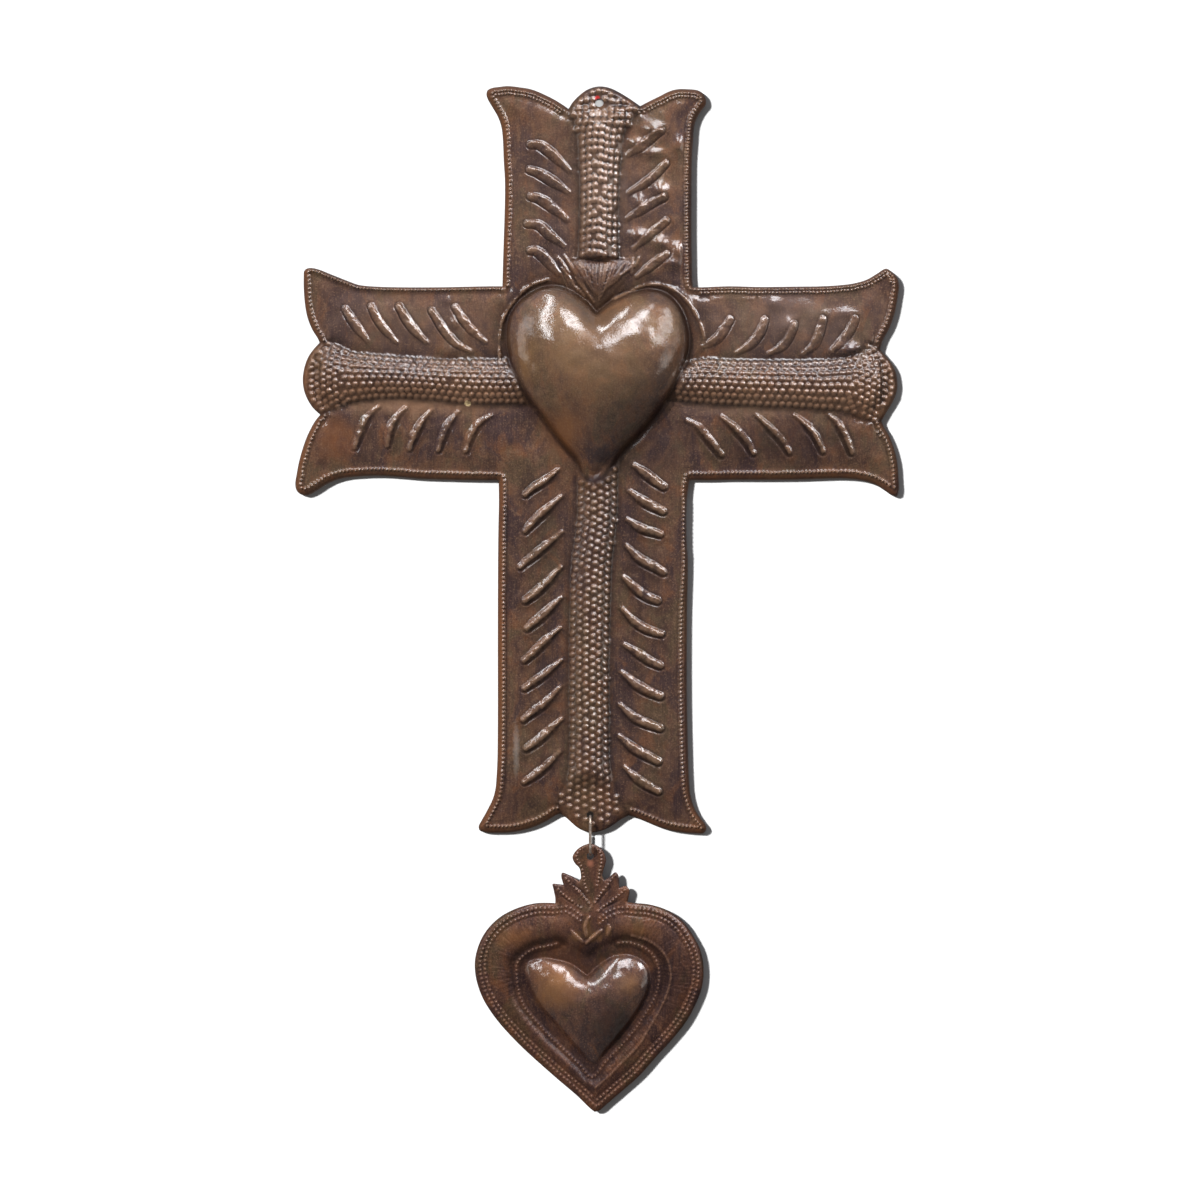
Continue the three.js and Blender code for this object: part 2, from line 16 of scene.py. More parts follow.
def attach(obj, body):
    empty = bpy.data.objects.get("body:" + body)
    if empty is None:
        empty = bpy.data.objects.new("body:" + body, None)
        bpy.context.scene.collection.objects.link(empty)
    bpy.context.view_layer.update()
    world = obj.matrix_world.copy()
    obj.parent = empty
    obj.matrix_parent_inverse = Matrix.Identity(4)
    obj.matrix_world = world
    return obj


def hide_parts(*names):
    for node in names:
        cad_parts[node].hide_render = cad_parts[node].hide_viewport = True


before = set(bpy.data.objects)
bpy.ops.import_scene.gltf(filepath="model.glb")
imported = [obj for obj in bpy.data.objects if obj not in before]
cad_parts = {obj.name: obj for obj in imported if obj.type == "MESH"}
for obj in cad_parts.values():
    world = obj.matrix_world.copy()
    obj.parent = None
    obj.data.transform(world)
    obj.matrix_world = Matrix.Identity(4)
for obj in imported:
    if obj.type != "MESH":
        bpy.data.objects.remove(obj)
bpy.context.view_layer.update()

UNIT = 0.42e-3
U0, V0 = 600.0, 103.5
SHEET = 1.0          # mm
LINK_U = 591.0
CROSS_HOLE_V = 815.5
PENDANT_HOLE_V = 857.0
NAIL_HOLE_R = 1.8 / 0.42      # grid units
LINK_HOLE_R = 1.5 / 0.42
rng = np.random.default_rng(20)

# ------------------------------------------------------------------ outlines
CROSS_RUNS = [
    [(503, 286.5), (503.7, 260), (505, 220), (505.5, 200), (505.5, 180), (504.3, 160), (503.5, 140), (502, 127), (498.6, 117), (493.4, 107.8), (488.8, 100), (487, 95), (488, 90.4), (492.3, 88), (500, 86.8), (508.3, 86), (520, 87.2), (532, 89.3), (545, 94.5), (557, 100.7), (566.5, 107), (569, 109.3)],
    [(569, 109.3), (573, 102.7), (580, 95.4), (587.7, 89.8), (596, 86.8), (603.2, 86.4), (611.5, 88.2), (620, 92.3), (630, 98.4), (638, 104), (641, 106)],
    [(641, 106), (649, 101.8), (660, 96.4), (670, 91.4), (678, 89.2), (690, 89.2), (699, 90.4), (704.5, 94), (707, 99.7), (706.5, 105), (701, 112.5), (696, 123), (694, 141), (692.8, 160), (692.5, 200), (692.5, 240), (693.3, 280), (694, 287)],
    [(694, 287), (700, 287.5), (730, 286.5), (760, 287.2), (800, 286.8), (820, 286.6), (840, 285.5), (855, 283.6), (868, 279.8), (878, 274), (887, 268.8), (892.3, 271.5), (897.5, 276.5), (899.5, 281), (900.3, 286), (898.5, 300), (896.7, 310), (894, 320), (890, 330), (884.5, 340), (881.3, 349.7)],
    [(881.3, 349.7), (886.5, 355.8), (892.3, 363), (896.5, 370.8), (898.3, 380), (898.6, 388), (896.4, 397), (892.6, 405), (887.7, 412.7), (882.8, 421.5)],
    [(882.8, 421.5), (885, 427), (889, 433.5), (893.7, 444), (897, 455), (899, 466), (899.8, 478), (900.2, 490), (898, 497), (892.7, 495.7), (886.5, 491.5), (877.3, 485.7), (866.5, 481.8), (855, 479.8), (840, 479), (820, 479.5), (800, 480.2), (760, 480.5), (730, 480.5), (710, 481), (690.5, 481)],
    [(690.5, 481), (688, 500), (687.5, 540), (688.8, 560), (688, 620), (688, 700), (690, 780), (691, 793.5), (693.2, 803), (696.5, 811.5), (702.3, 820.5), (706, 825), (707.3, 830), (704.5, 834.3), (697, 834.6), (685, 833.7), (672.3, 831.8), (660.5, 828.4), (648.5, 823.5), (636.5, 818.6), (629.5, 816.7)],
    [(629.5, 816.7), (622.3, 820), (615.5, 824.8), (608, 829.4), (599.5, 832.3), (592.3, 833.4), (586, 832.3), (579, 829), (572.3, 823.4), (566, 817.8), (561, 814.8)],
    [(561, 814.8), (557, 816), (550, 820.5), (538.5, 826.5), (525, 831), (512, 833.4), (500, 834), (486, 833.6), (480.3, 831.5), (479.2, 827.2), (481.7, 822.3), (487.7, 811.5), (493.3, 800), (496, 790), (497.3, 775), (498, 760), (498.4, 720), (498.4, 620), (498.8, 540), (499.5, 500), (499.2, 481.2)],
    [(499.2, 481.2), (480, 481.2), (450, 480.5), (420, 479.5), (400, 477.8), (380, 476.6), (360, 477.1), (345, 478.6), (335, 481.3), (326, 485.6), (318.2, 490.7), (311, 494.8), (306, 496.2), (300, 494.3), (296.6, 490.4), (295.5, 484.5), (297, 474.5), (299.1, 463.2), (302.1, 452), (306.1, 440), (310.4, 430.4), (315.5, 421.4), (320.5, 415.2)],
    [(320.5, 415.2), (313.2, 408.2), (308, 400.2), (304.5, 391.4), (303.1, 382.3), (303.5, 374), (305.5, 365), (309, 356.5), (314, 349.5), (319.9, 343)],
    [(319.9, 343), (318, 338.6), (313.4, 331.4), (309.1, 321.9), (306.4, 311.9), (304.8, 300), (304.1, 290), (304, 278.2), (304.6, 271), (307.7, 268.6), (313.2, 268.3), (320, 270), (330, 274), (340, 278), (350, 281.9), (358.2, 284.9), (365, 286), (380, 287), (400, 287.5), (440, 287.5), (470, 286.9), (490, 286.5), (503, 286.5)],
]
LOBE_RUNS = (1, 4, 7, 10)

PENDANT_RUNS = [
    [(590.5, 844), (598, 846.5), (604, 852), (606.8, 861), (604, 871), (603.2, 877.5), (605.4, 881)],
    [(605.4, 881), (610.8, 877.3), (616.3, 872.9), (619.3, 876.5), (620, 888.9)],
    [(620, 888.9), (623.5, 887.2), (627, 886.8), (630.3, 891), (629.5, 897), (628, 903)],
    [(628, 903), (637, 904), (648, 905), (662, 908.6), (674.7, 914.8), (685.7, 924.4), (693.8, 936.5), (700, 948), (703.7, 961.5), (704.4, 975), (702.5, 989.5), (696.3, 1005.7), (686.2, 1024), (672.3, 1041.3), (657, 1058), (640, 1077), (622.3, 1092.7), (608.3, 1104.7), (600, 1111.7), (595.3, 1113)],
    [(595.3, 1113), (589.7, 1108.4), (578, 1097), (559.7, 1081.4), (541, 1065), (525, 1050.4), (510.7, 1036), (500, 1024), (491, 1012), (483.8, 1000), (479, 988), (476, 975), (475.5, 962.4), (478, 950), (483, 938), (491, 926.8), (502, 917.2), (514, 910.7), (526, 906.4), (537.5, 904), (548, 903.7), (556, 904)],
    [(556, 904), (556, 898.9), (554, 889), (553.2, 884.7), (558.6, 884.9), (564.2, 885.5)],
    [(564.2, 885.5), (562, 877), (562.8, 873.5), (569, 875.4), (575, 878.3), (579.3, 881.6)],
    [(579.3, 881.6), (581.4, 879.5), (581.4, 874), (580, 868.6), (576, 864.5), (573.2, 858.2), (577, 851.2), (583.5, 846.5), (590.5, 844)],
]

HEART = [(597.7, 312.3), (609, 302.5), (621.8, 295.4), (636, 291), (650, 289), (664.6, 291.8), (677, 300.7), (686, 315), (690.5, 333), (690.5, 349), (686, 365), (677, 384.6), (666.4, 404), (654, 422), (641.4, 436.4), (627, 450.7), (614.6, 466.8), (602, 479), (593, 482), (584, 477), (577, 463), (568, 452.5), (557.5, 440), (546.8, 425.7), (536, 411.4), (525.4, 395), (516.4, 377.5), (510, 361), (506.6, 345), (506.6, 329), (510, 315), (518, 302.5), (529, 293.6), (541.4, 287.3), (554, 285.5), (566.4, 288), (577, 293.6), (588, 301), (597.7, 312.3)]
FLAME = [(569, 262), (641, 262), (626, 282), (602, 311), (596, 311), (583, 290)]

# pebbled bands: (across-axis, borders as functions of the long coordinate)
BAND_TOP_A = [(569, 109), (572, 118), (575, 130), (577, 142), (578, 160), (579, 180), (579, 220), (578, 250), (577, 259)]
BAND_TOP_B = [(641, 106), (637, 116), (632, 126), (626, 136), (624, 150), (622, 165), (621, 180), (620, 220), (620, 250), (621, 259)]
BAND_LOW_A = [(577, 440), (577, 483), (577, 520), (574, 545), (571, 560), (570, 600), (569, 640), (569, 700), (569, 760), (566, 780), (559, 800), (561, 815)]
BAND_LOW_B = [(620, 440), (620, 473), (618, 520), (614, 560), (612.5, 600), (611, 640), (611, 720), (611, 760), (615, 780), (620, 800), (626, 810), (629.5, 816.7)]
BAND_LEFT_A = [(320, 343), (330, 341.5), (340, 344), (350, 350.8), (365, 353.5), (380, 355), (400, 356.7), (440, 359), (500, 359.5), (540, 359.5)]
BAND_LEFT_B = [(320.5, 415), (330, 413), (345, 407), (355, 404), (370, 401.5), (400, 400), (420, 400.8), (440, 402.5), (460, 405), (480, 406), (540, 406)]
BAND_RIGHT_A = [(650, 361), (693, 361), (700, 359), (740, 360), (820, 360), (840, 358), (850, 355.8), (860, 352.5), (870, 344), (881, 349.7)]
BAND_RIGHT_B = [(650, 400), (675, 401.7), (690, 404), (710, 405.8), (740, 407.5), (770, 409), (800, 410), (820, 411.7), (840, 413), (850, 415.8), (862, 420.8), (870, 423), (882.8, 421.5)]

STROKES = [
    # top arm, left and right
    [(528, 143.5), (540, 143), (553, 151), (563, 161), (571.5, 170.5)], [(528, 167.5), (541, 171.5), (556, 180.5), (571, 192)], [(529, 194.5), (542, 197.3), (556, 206.5), (568.5, 219)], [(525, 222.3), (540, 223), (553, 234), (567, 246)], [(528, 250.5), (535, 248), (546.5, 255), (556.7, 268), (561.5, 274)],
    [(627.3, 155), (640, 146), (652, 136), (663.5, 128.3)], [(628.5, 193), (647, 180.5), (667.7, 161.3)], [(626.9, 219), (641, 209), (652, 202), (667, 195.5)], [(634, 248.5), (650, 233), (668.5, 218.5)], [(636.5, 277.3), (654, 262), (669, 252)],
    # right arm, upper and lower
    [(703, 347), (717, 337.5), (725, 326), (731, 317)], [(736, 353.5), (750.5, 343.5), (760, 331), (765, 317.3)], [(768.5, 353.7), (780, 347.3), (789, 335.5), (795, 321.8)], [(803, 353.7), (812.3, 346), (818, 333), (823, 316.8)], [(831.3, 351.5), (842.7, 339), (850.3, 327.5), (855.5, 316.5)],
    [(687, 420), (701, 427.7), (713, 441.5), (725, 457.3)], [(722, 416.5), (736, 427.7), (747.5, 439.7), (757, 456)], [(757.3, 415.5), (770, 426.5), (783, 439.5), (793, 455.5)], [(795, 415), (807.7, 424.7), (817.7, 436.5), (826, 455)], [(829, 414), (840, 424.3), (848, 437.7), (854.5, 456)],
    # left arm, upper and lower
    [(345, 306.5), (354.5, 321), (361.5, 330.5), (369.7, 342)], [(371, 304), (378, 317.3), (387.5, 330.5), (398, 342.7)], [(399, 304), (408, 319), (417.5, 331.5), (427.7, 342.7)], [(431.5, 308.7), (439.7, 321), (448, 333), (458.5, 344.3), (472, 351.8)], [(454.7, 305), (463.3, 317.7), (473.3, 330), (487, 342.7)],
    [(380, 406.5), (367.7, 417), (360.5, 432), (353.5, 451)], [(406.5, 407.7), (396, 419), (389.7, 431.8), (387, 449.5)], [(431.5, 411), (421.5, 423), (414, 436.5), (408.7, 452.7)], [(459.7, 411), (449.7, 422.7), (443, 436), (437.3, 453.7)], [(492, 415.5), (479.7, 423), (470.5, 436), (465, 454.7)],
    # shaft, left and right
    [(559, 469), (545, 480.5), (533, 488), (523, 497)], [(562, 496), (547, 509), (536, 519), (522.7, 533.5)], [(563.5, 531), (543.5, 547.5), (528, 560), (518, 569)], [(562, 566), (549, 579.5), (535, 593), (522.7, 602.7)], [(562, 597), (545, 613), (536, 621), (524.5, 630.5)], [(560, 628), (546, 640), (535, 651), (522, 662.7)], [(562.5, 659.3), (546.5, 672.5), (535, 681), (522, 690.5)], [(560.5, 687), (545, 703), (534, 711), (521, 721.7)], [(562, 719), (546, 733), (537, 741), (523.5, 750.5)], [(561, 751), (545, 766.5), (536, 774), (522, 783.5)],
    [(634.5, 464.5), (645, 471), (656, 479), (668.5, 488)], [(630.5, 490.5), (645, 500), (657, 506.5), (668, 512)], [(627.3, 518.5), (642, 527), (655, 531), (665, 534.7)], [(627.3, 545), (642, 558), (655, 565), (668, 573.5)], [(625, 577), (640, 589.5), (650, 596), (662.3, 601)], [(623, 608), (638, 622), (650, 629), (666, 634)], [(625.3, 644), (643, 654), (652, 660), (665, 666)], [(622.3, 671), (637, 682.3), (650, 690), (665, 696.5)], [(621, 704.3), (637, 717), (648, 722), (665, 728.5)], [(620, 735), (636, 747.5), (648, 754), (663, 762.3)], [(625.3, 766), (640, 778.5), (650, 785), (663.3, 792.3)],
]

SMALL_HEART = [(587.8, 976), (595, 969.4), (604.9, 961.3), (616, 955.6), (627.6, 954.8), (639, 958), (648.8, 966), (652, 977.6), (650.4, 990.6), (643.9, 1005), (632.5, 1023), (621, 1037.7), (608, 1052.4), (595, 1065.4), (582, 1055.6), (569, 1041), (556, 1026.4), (543, 1011.7), (533.3, 997), (527.6, 984), (525.2, 972.7), (527.6, 963), (543, 958), (556, 959.7), (569, 963), (578.8, 968.6), (587.8, 976)]
RING_ROW = [(618.7, 944), (628, 943.3), (641, 947), (652, 954.4), (657.6, 963), (659.8, 975.7), (658.5, 988.7), (654, 1001.7), (645.6, 1015.6), (634.4, 1032), (620.6, 1048), (604.8, 1064.6), (592.8, 1078), (580, 1065.6), (565, 1051.7), (550, 1037), (537, 1023), (524, 1006), (519, 992), (517.4, 977.6), (517.8, 964.6), (524.3, 956.3), (535.4, 949.8), (548.3, 947), (557.6, 944.6)]
RING_LINE = [(632, 936), (652, 943), (666, 956), (671.5, 974), (669, 990), (663, 1005), (651, 1027), (640, 1045), (622, 1064), (606, 1080), (596, 1088)]


# -------------------------------------------------------------------- curves
def dense(points, per=24):
    """Centripetal Catmull-Rom curve through the points, as many small steps."""
    p = np.asarray(points, float)
    ext = np.vstack([2 * p[0] - p[1], p, 2 * p[-1] - p[-2]])
    out = []
    for i in range(1, len(ext) - 2):
        p0, p1, p2, p3 = ext[i - 1], ext[i], ext[i + 1], ext[i + 2]
        t0 = 0.0
        t1 = t0 + max(np.linalg.norm(p1 - p0), 1e-6) ** 0.5
        t2 = t1 + max(np.linalg.norm(p2 - p1), 1e-6) ** 0.5
        t3 = t2 + max(np.linalg.norm(p3 - p2), 1e-6) ** 0.5
        t = np.linspace(t1, t2, per, endpoint=False)[:, None]
        a1 = (t1 - t) / (t1 - t0) * p0 + (t - t0) / (t1 - t0) * p1
        a2 = (t2 - t) / (t2 - t1) * p1 + (t - t1) / (t2 - t1) * p2
        a3 = (t3 - t) / (t3 - t2) * p2 + (t - t2) / (t3 - t2) * p3
        b1 = (t2 - t) / (t2 - t0) * a1 + (t - t0) / (t2 - t0) * a2
        b2 = (t3 - t) / (t3 - t1) * a2 + (t - t1) / (t3 - t1) * a3
        out.append((t2 - t) / (t2 - t1) * b1 + (t - t1) / (t2 - t1) * b2)
    return np.vstack(out + [p[-1:]])


def resample(line, step):
    """Points at even steps along a polyline, both ends kept."""
    seg = np.linalg.norm(np.diff(line, axis=0), axis=1)
    s = np.concatenate([[0], np.cumsum(seg)])
    n = max(2, int(round(s[-1] / step)))
    q = np.linspace(0, s[-1], n + 1)
    return np.stack([np.interp(q, s, line[:, k]) for k in (0, 1)], 1)


def loop_of(runs, step):
    """Closed outline from runs that meet in corners, and the run of each point."""
    pts, ids = [], []
    for k, run in enumerate(runs):
        r = resample(dense(run), step)[:-1]
        pts.append(r)
        ids.append(np.full(len(r), k))
    return np.vstack(pts), np.concatenate(ids)


def area_up(loop):
    """Signed area with v pointing up: positive when the loop runs anticlockwise for the viewer."""
    u, v = loop[:, 0], -loop[:, 1]
    return 0.5 * float(np.sum(u * np.roll(v, -1) - np.roll(u, -1) * v))


def inside(poly, pts):
    """Which points lie in a closed outline; each edge only looks at the points level with it."""
    order = np.argsort(pts[:, 1], kind="stable")
    u, v = pts[order, 0], pts[order, 1]
    odd = np.zeros(len(pts), bool)
    a = np.asarray(poly, float)
    b = np.roll(a, -1, axis=0)
    lo = np.searchsorted(v, np.minimum(a[:, 1], b[:, 1]), "left")
    hi = np.searchsorted(v, np.maximum(a[:, 1], b[:, 1]), "left")
    for (u1, v1), (u2, v2), i, j in zip(a.tolist(), b.tolist(), lo.tolist(), hi.tolist()):
        if i < j:
            odd[i:j] ^= u[i:j] < (u2 - u1) * (v[i:j] - v1) / (v2 - v1) + u1
    out = np.empty(len(pts), bool)
    out[order] = odd
    return out


def line_dist(line, pts, closed=False, want_index=False):
    """Distance of each point to a polyline, and the nearest segment's index if wanted."""
    a = np.asarray(line, float)
    b = np.roll(a, -1, axis=0)
    if not closed:
        a, b = a[:-1], b[:-1]
    d = b - a
    ll = np.maximum((d ** 2).sum(1), 1e-12)
    if len(a) * len(pts) < 1_600_000 or len(a) < 8:
        ru = pts[:, None, 0] - a[None, :, 0]
        rv = pts[:, None, 1] - a[None, :, 1]
        t = np.clip((ru * d[None, :, 0] + rv * d[None, :, 1]) / ll, 0, 1)
        e = (ru - t * d[None, :, 0]) ** 2 + (rv - t * d[None, :, 1]) ** 2
        idx = e.argmin(1)
        best = np.sqrt(e[np.arange(len(pts)), idx])
        return (best, idx) if want_index else best
    # a tree of samples at most one unit apart finds the stretch, then the distance is exact
    n = np.maximum(1, np.ceil(np.sqrt(ll))).astype(int)
    seg = np.repeat(np.arange(len(a)), n)
    frac = np.concatenate([(np.arange(k) + 0.5) / k for k in n])
    sam = a[seg] + d[seg] * frac[:, None]
    tree = KDTree(len(sam))
    for i, (u, v) in enumerate(sam.tolist()):
        tree.insert((u, v, 0.0), i)
    tree.balance()
    find = tree.find
    hit = np.fromiter((find((u, v, 0.0))[1] for u, v in pts.tolist()), int, len(pts))
    best = np.full(len(pts), np.inf)
    idx = seg[hit]
    for step in (0, -1, 1):
        k = seg[hit] + step
        k = k % len(a) if closed else np.clip(k, 0, len(a) - 1)
        r = pts - a[k]
        t = np.clip((r * d[k]).sum(1) / ll[k], 0, 1)
        e = np.hypot(r[:, 0] - t * d[k, 0], r[:, 1] - t * d[k, 1])
        idx = np.where(e < best, k, idx)
        best = np.minimum(best, e)
    return (best, idx) if want_index else best


def smooth01(t):
    t = np.clip(t, 0, 1)
    return t * t * (3 - 2 * t)


def outward(loop):
    """Unit outward normals of a closed loop, in grid axes."""
    t = np.roll(loop, -1, axis=0) - np.roll(loop, 1, axis=0)
    t /= np.maximum(np.linalg.norm(t, axis=1, keepdims=True), 1e-9)
    n = np.stack([t[:, 1], -t[:, 0]], 1)
    return n if area_up(loop) < 0 else -n


def wave(pts, size, seed):
    """Smooth seeded noise in -1..1 with blobs of about that size."""
    g = np.random.default_rng(seed).uniform(-1, 1, (64, 64))
    q = pts / size
    i = np.floor(q).astype(int)
    f = q - i
    f = f * f * f * (f * (f * 6 - 15) + 10)
    at = lambda a, b: g[a % 64, b % 64]
    x0 = at(i[:, 0], i[:, 1]) * (1 - f[:, 0]) + at(i[:, 0] + 1, i[:, 1]) * f[:, 0]
    x1 = at(i[:, 0], i[:, 1] + 1) * (1 - f[:, 0]) + at(i[:, 0] + 1, i[:, 1] + 1) * f[:, 0]
    return x0 * (1 - f[:, 1]) + x1 * f[:, 1]


def leaf_share(t, blunt):
    """Width of a leaf along its length, as a share of its full width."""
    return np.where(t < 0.45, 0.55 + 0.45 * smooth01(t / 0.45), blunt + (1 - blunt) * smooth01((1 - t) / 0.35))


# ----------------------------------------------------------- relief on a grid
class Relief:
    """Height of the small hammered marks on a fine grid, in millimetres."""

    def __init__(self, u0, v0, u1, v1, cell=0.25):
        self.u0, self.v0, self.cell = u0, v0, cell
        self.nu = int((u1 - u0) / cell) + 2
        self.nv = int((v1 - v0) / cell) + 2
        self.up = np.zeros((self.nv, self.nu), np.float32)     # raised marks
        self.down = np.zeros((self.nv, self.nu), np.float32)   # grooves
        self.stain_and_shade = np.zeros((self.nv, self.nu), np.float32)  # dark patina and painted shade beside and under the marks, 0..1

    def window(self, lo, hi):
        i0 = max(0, int((lo[0] - self.u0) / self.cell))
        j0 = max(0, int((lo[1] - self.v0) / self.cell))
        i1 = min(self.nu, int((hi[0] - self.u0) / self.cell) + 2)
        j1 = min(self.nv, int((hi[1] - self.v0) / self.cell) + 2)
        uu = self.u0 + np.arange(i0, i1) * self.cell
        vv = self.v0 + np.arange(j0, j1) * self.cell
        return slice(j0, j1), slice(i0, i1), uu[None, :], vv[:, None]

    def bump(self, u, v, ru, rv, height, angle=0.0, power=0.75):
        r = max(ru, rv) + 0.3
        sj, si, uu, vv = self.window((u - r, v - r), (u + r, v + r))
        c, s = math.cos(angle), math.sin(angle)
        x = ((uu - u) * c + (vv - v) * s) / ru
        y = (-(uu - u) * s + (vv - v) * c) / rv
        h = height * np.clip(1 - x * x - y * y, 0, None) ** power
        if height > 0:
            self.up[sj, si] = np.maximum(self.up[sj, si], h)
        else:
            self.down[sj, si] = np.minimum(self.down[sj, si], h)

    def ridge(self, line, half, height, power=0.7, taper=True):
        """A raised bar (or a groove, for a negative height) along a line, its ends rounded."""
        line = np.asarray(line, float)
        r = half + 0.4
        sj, si, uu, vv = self.window(line.min(0) - r, line.max(0) + r)
        shape = (vv.shape[0], uu.shape[1])
        pts = np.stack([np.broadcast_to(uu, shape).ravel(), np.broadcast_to(vv, shape).ravel()], 1)
        d, k = line_dist(line, pts, want_index=True)
        w = half
        if taper:
            run = np.hypot(*(np.diff(line, axis=0).T))
            s = np.concatenate([[0], np.cumsum(run)])
            r = pts - line[k]
            e = line[k + 1] - line[k]
            t = (s[k] + np.clip((r * e).sum(1) / np.maximum(run[k], 1e-6), 0, run[k])) / s[-1]
            leaf = np.sin(np.pi * np.clip(0.04 + 0.92 * t, 0, 1)) ** 0.6
            w = half * (0.50 + 0.50 * leaf)
            height = height * (0.70 + 0.30 * leaf)
        h = height * np.clip(1 - (d / w) ** 2, 0, None) ** power
        h = h.reshape(shape)
        if np.max(height) > 0:
            self.up[sj, si] = np.maximum(self.up[sj, si], h)
        else:
            self.down[sj, si] = np.minimum(self.down[sj, si], h)

    def leaf(self, line, low_side, up, low, blunt, height, groove, stain_and_shade, flat):
        """A chased leaf: a crest along the line and two flanks, pointed at the first point, more or less blunt at the
        last; it also paints shade on its lower flank and beside it.
        """
        line = np.asarray(line, float)
        r = max(up, low) + 9
        sj, si, uu, vv = self.window(line.min(0) - r, line.max(0) + r)
        shape = (vv.shape[0], uu.shape[1])
        pts = np.stack([np.broadcast_to(uu, shape).ravel(), np.broadcast_to(vv, shape).ravel()], 1)
        d, k = line_dist(line, pts, want_index=True)
        run = np.hypot(*(np.diff(line, axis=0).T))
        s = np.concatenate([[0], np.cumsum(run)])
        e = line[k + 1] - line[k]
        g = pts - line[k]
        t = (s[k] + np.clip((g * e).sum(1) / np.maximum(run[k], 1e-6), 0, run[k])) / s[-1]
        side = low_side * (e[:, 0] * g[:, 1] - e[:, 1] * g[:, 0]) / np.maximum(run[k] * d, 1e-6)
        side = np.clip(side, -1, 1)
        w = (0.5 * (up + low) + 0.5 * (low - up) * side) * leaf_share(t, blunt)
        c = 0.9
        rise = np.clip(1 - (np.sqrt(d * d + c * c) - c) / (np.sqrt(w * w + c * c) - c), 0, None)
        y = d / np.maximum(w, 1e-6)
        fall = 1 - smooth01((y - flat) / (0.92 - flat)) if flat else (1 - 0.5 * y) * (1 - smooth01((y - 0.84) / 0.16))
        b = smooth01(0.5 + 0.5 * side)
        roof = rise + b * (fall - rise)
        h = height * (0.75 + 0.25 * smooth01(t / 0.4)) * roof * (1 + 0.30 * wave(pts, 5.0, 61) + 0.24 * wave(pts, 2.8, 62))
        h = h + 0.18 * np.exp(-((d - w - 2.2) / 0.8) ** 2) * smooth01((t - 0.25) / 0.3) * (0.2 + 0.8 * b)
        self.up[sj, si] = np.maximum(self.up[sj, si], h.reshape(shape))
        h = -groove * np.exp(-((d - w - 0.2) / 1.0) ** 2) * (0.35 + 0.65 * smooth01((t - 0.3) / 0.4)) * b
        self.down[sj, si] = np.minimum(self.down[sj, si], h.reshape(shape))
        # painted shade: the lower flank and the ground beside the leaf are darkened as if in shadow, with a little
        # patina in the groove
        under = 0.95 * np.exp(-((d - 0.60 * w) / (0.36 * w + 0.2)) ** 2) if 0 < flat < 0.2 else 0.85 * np.exp(-((d - 0.86 * w) / (0.30 * w + 0.2)) ** 2) if flat else 0.45 * np.exp(-((d - w - 0.2) / 1.0) ** 2)
        under = under * (0.5 + 0.5 * smooth01(t / 0.3))
        h = b * np.maximum(under, stain_and_shade * np.exp(-((d - w) / 5.5) ** 2)) * np.clip(0.85 + 0.35 * wave(pts, 3.1, 63), 0, 1)
        self.stain_and_shade[sj, si] = np.maximum(self.stain_and_shade[sj, si], h.reshape(shape))

    def long_ridge(self, line, half, height, power=0.7):
        """The same for a long line, a short stretch at a time."""
        line = np.asarray(line, float)
        for i in range(0, len(line) - 1, 12):
            part = line[i:i + 13]
            if len(part) > 1:
                self.ridge(part, half, height, power, taper=False)

    def done(self):
        self.h = self.up + self.down
        self.soft = blur(self.h, 5)       # about 1.25 units
        self.wide = blur(self.h, 14)      # about 3.5 units
        return self

    def sample(self, field, pts):
        x = np.clip((pts[:, 0] - self.u0) / self.cell, 0, self.nu - 1.001)
        y = np.clip((pts[:, 1] - self.v0) / self.cell, 0, self.nv - 1.001)
        i, j = x.astype(int), y.astype(int)
        s, t = x - i, y - j
        return ((1 - t) * ((1 - s) * field[j, i] + s * field[j, i + 1])
                + t * ((1 - s) * field[j + 1, i] + s * field[j + 1, i + 1]))


def blur(a, r):
    """Three box blurs, close to a Gaussian."""
    out = a.astype(np.float32)
    for axis in (0, 1):
        for _ in range(3):
            pad = [(0, 0), (0, 0)]
            pad[axis] = (r + 1, r)
            c = np.cumsum(np.pad(out, pad, mode="edge"), axis=axis, dtype=np.float64)
            n = out.shape[axis]
            hi = np.take(c, np.arange(2 * r + 1, 2 * r + 1 + n), axis=axis)
            lo = np.take(c, np.arange(0, n), axis=axis)
            out = ((hi - lo) / (2 * r + 1)).astype(np.float32)
    return out


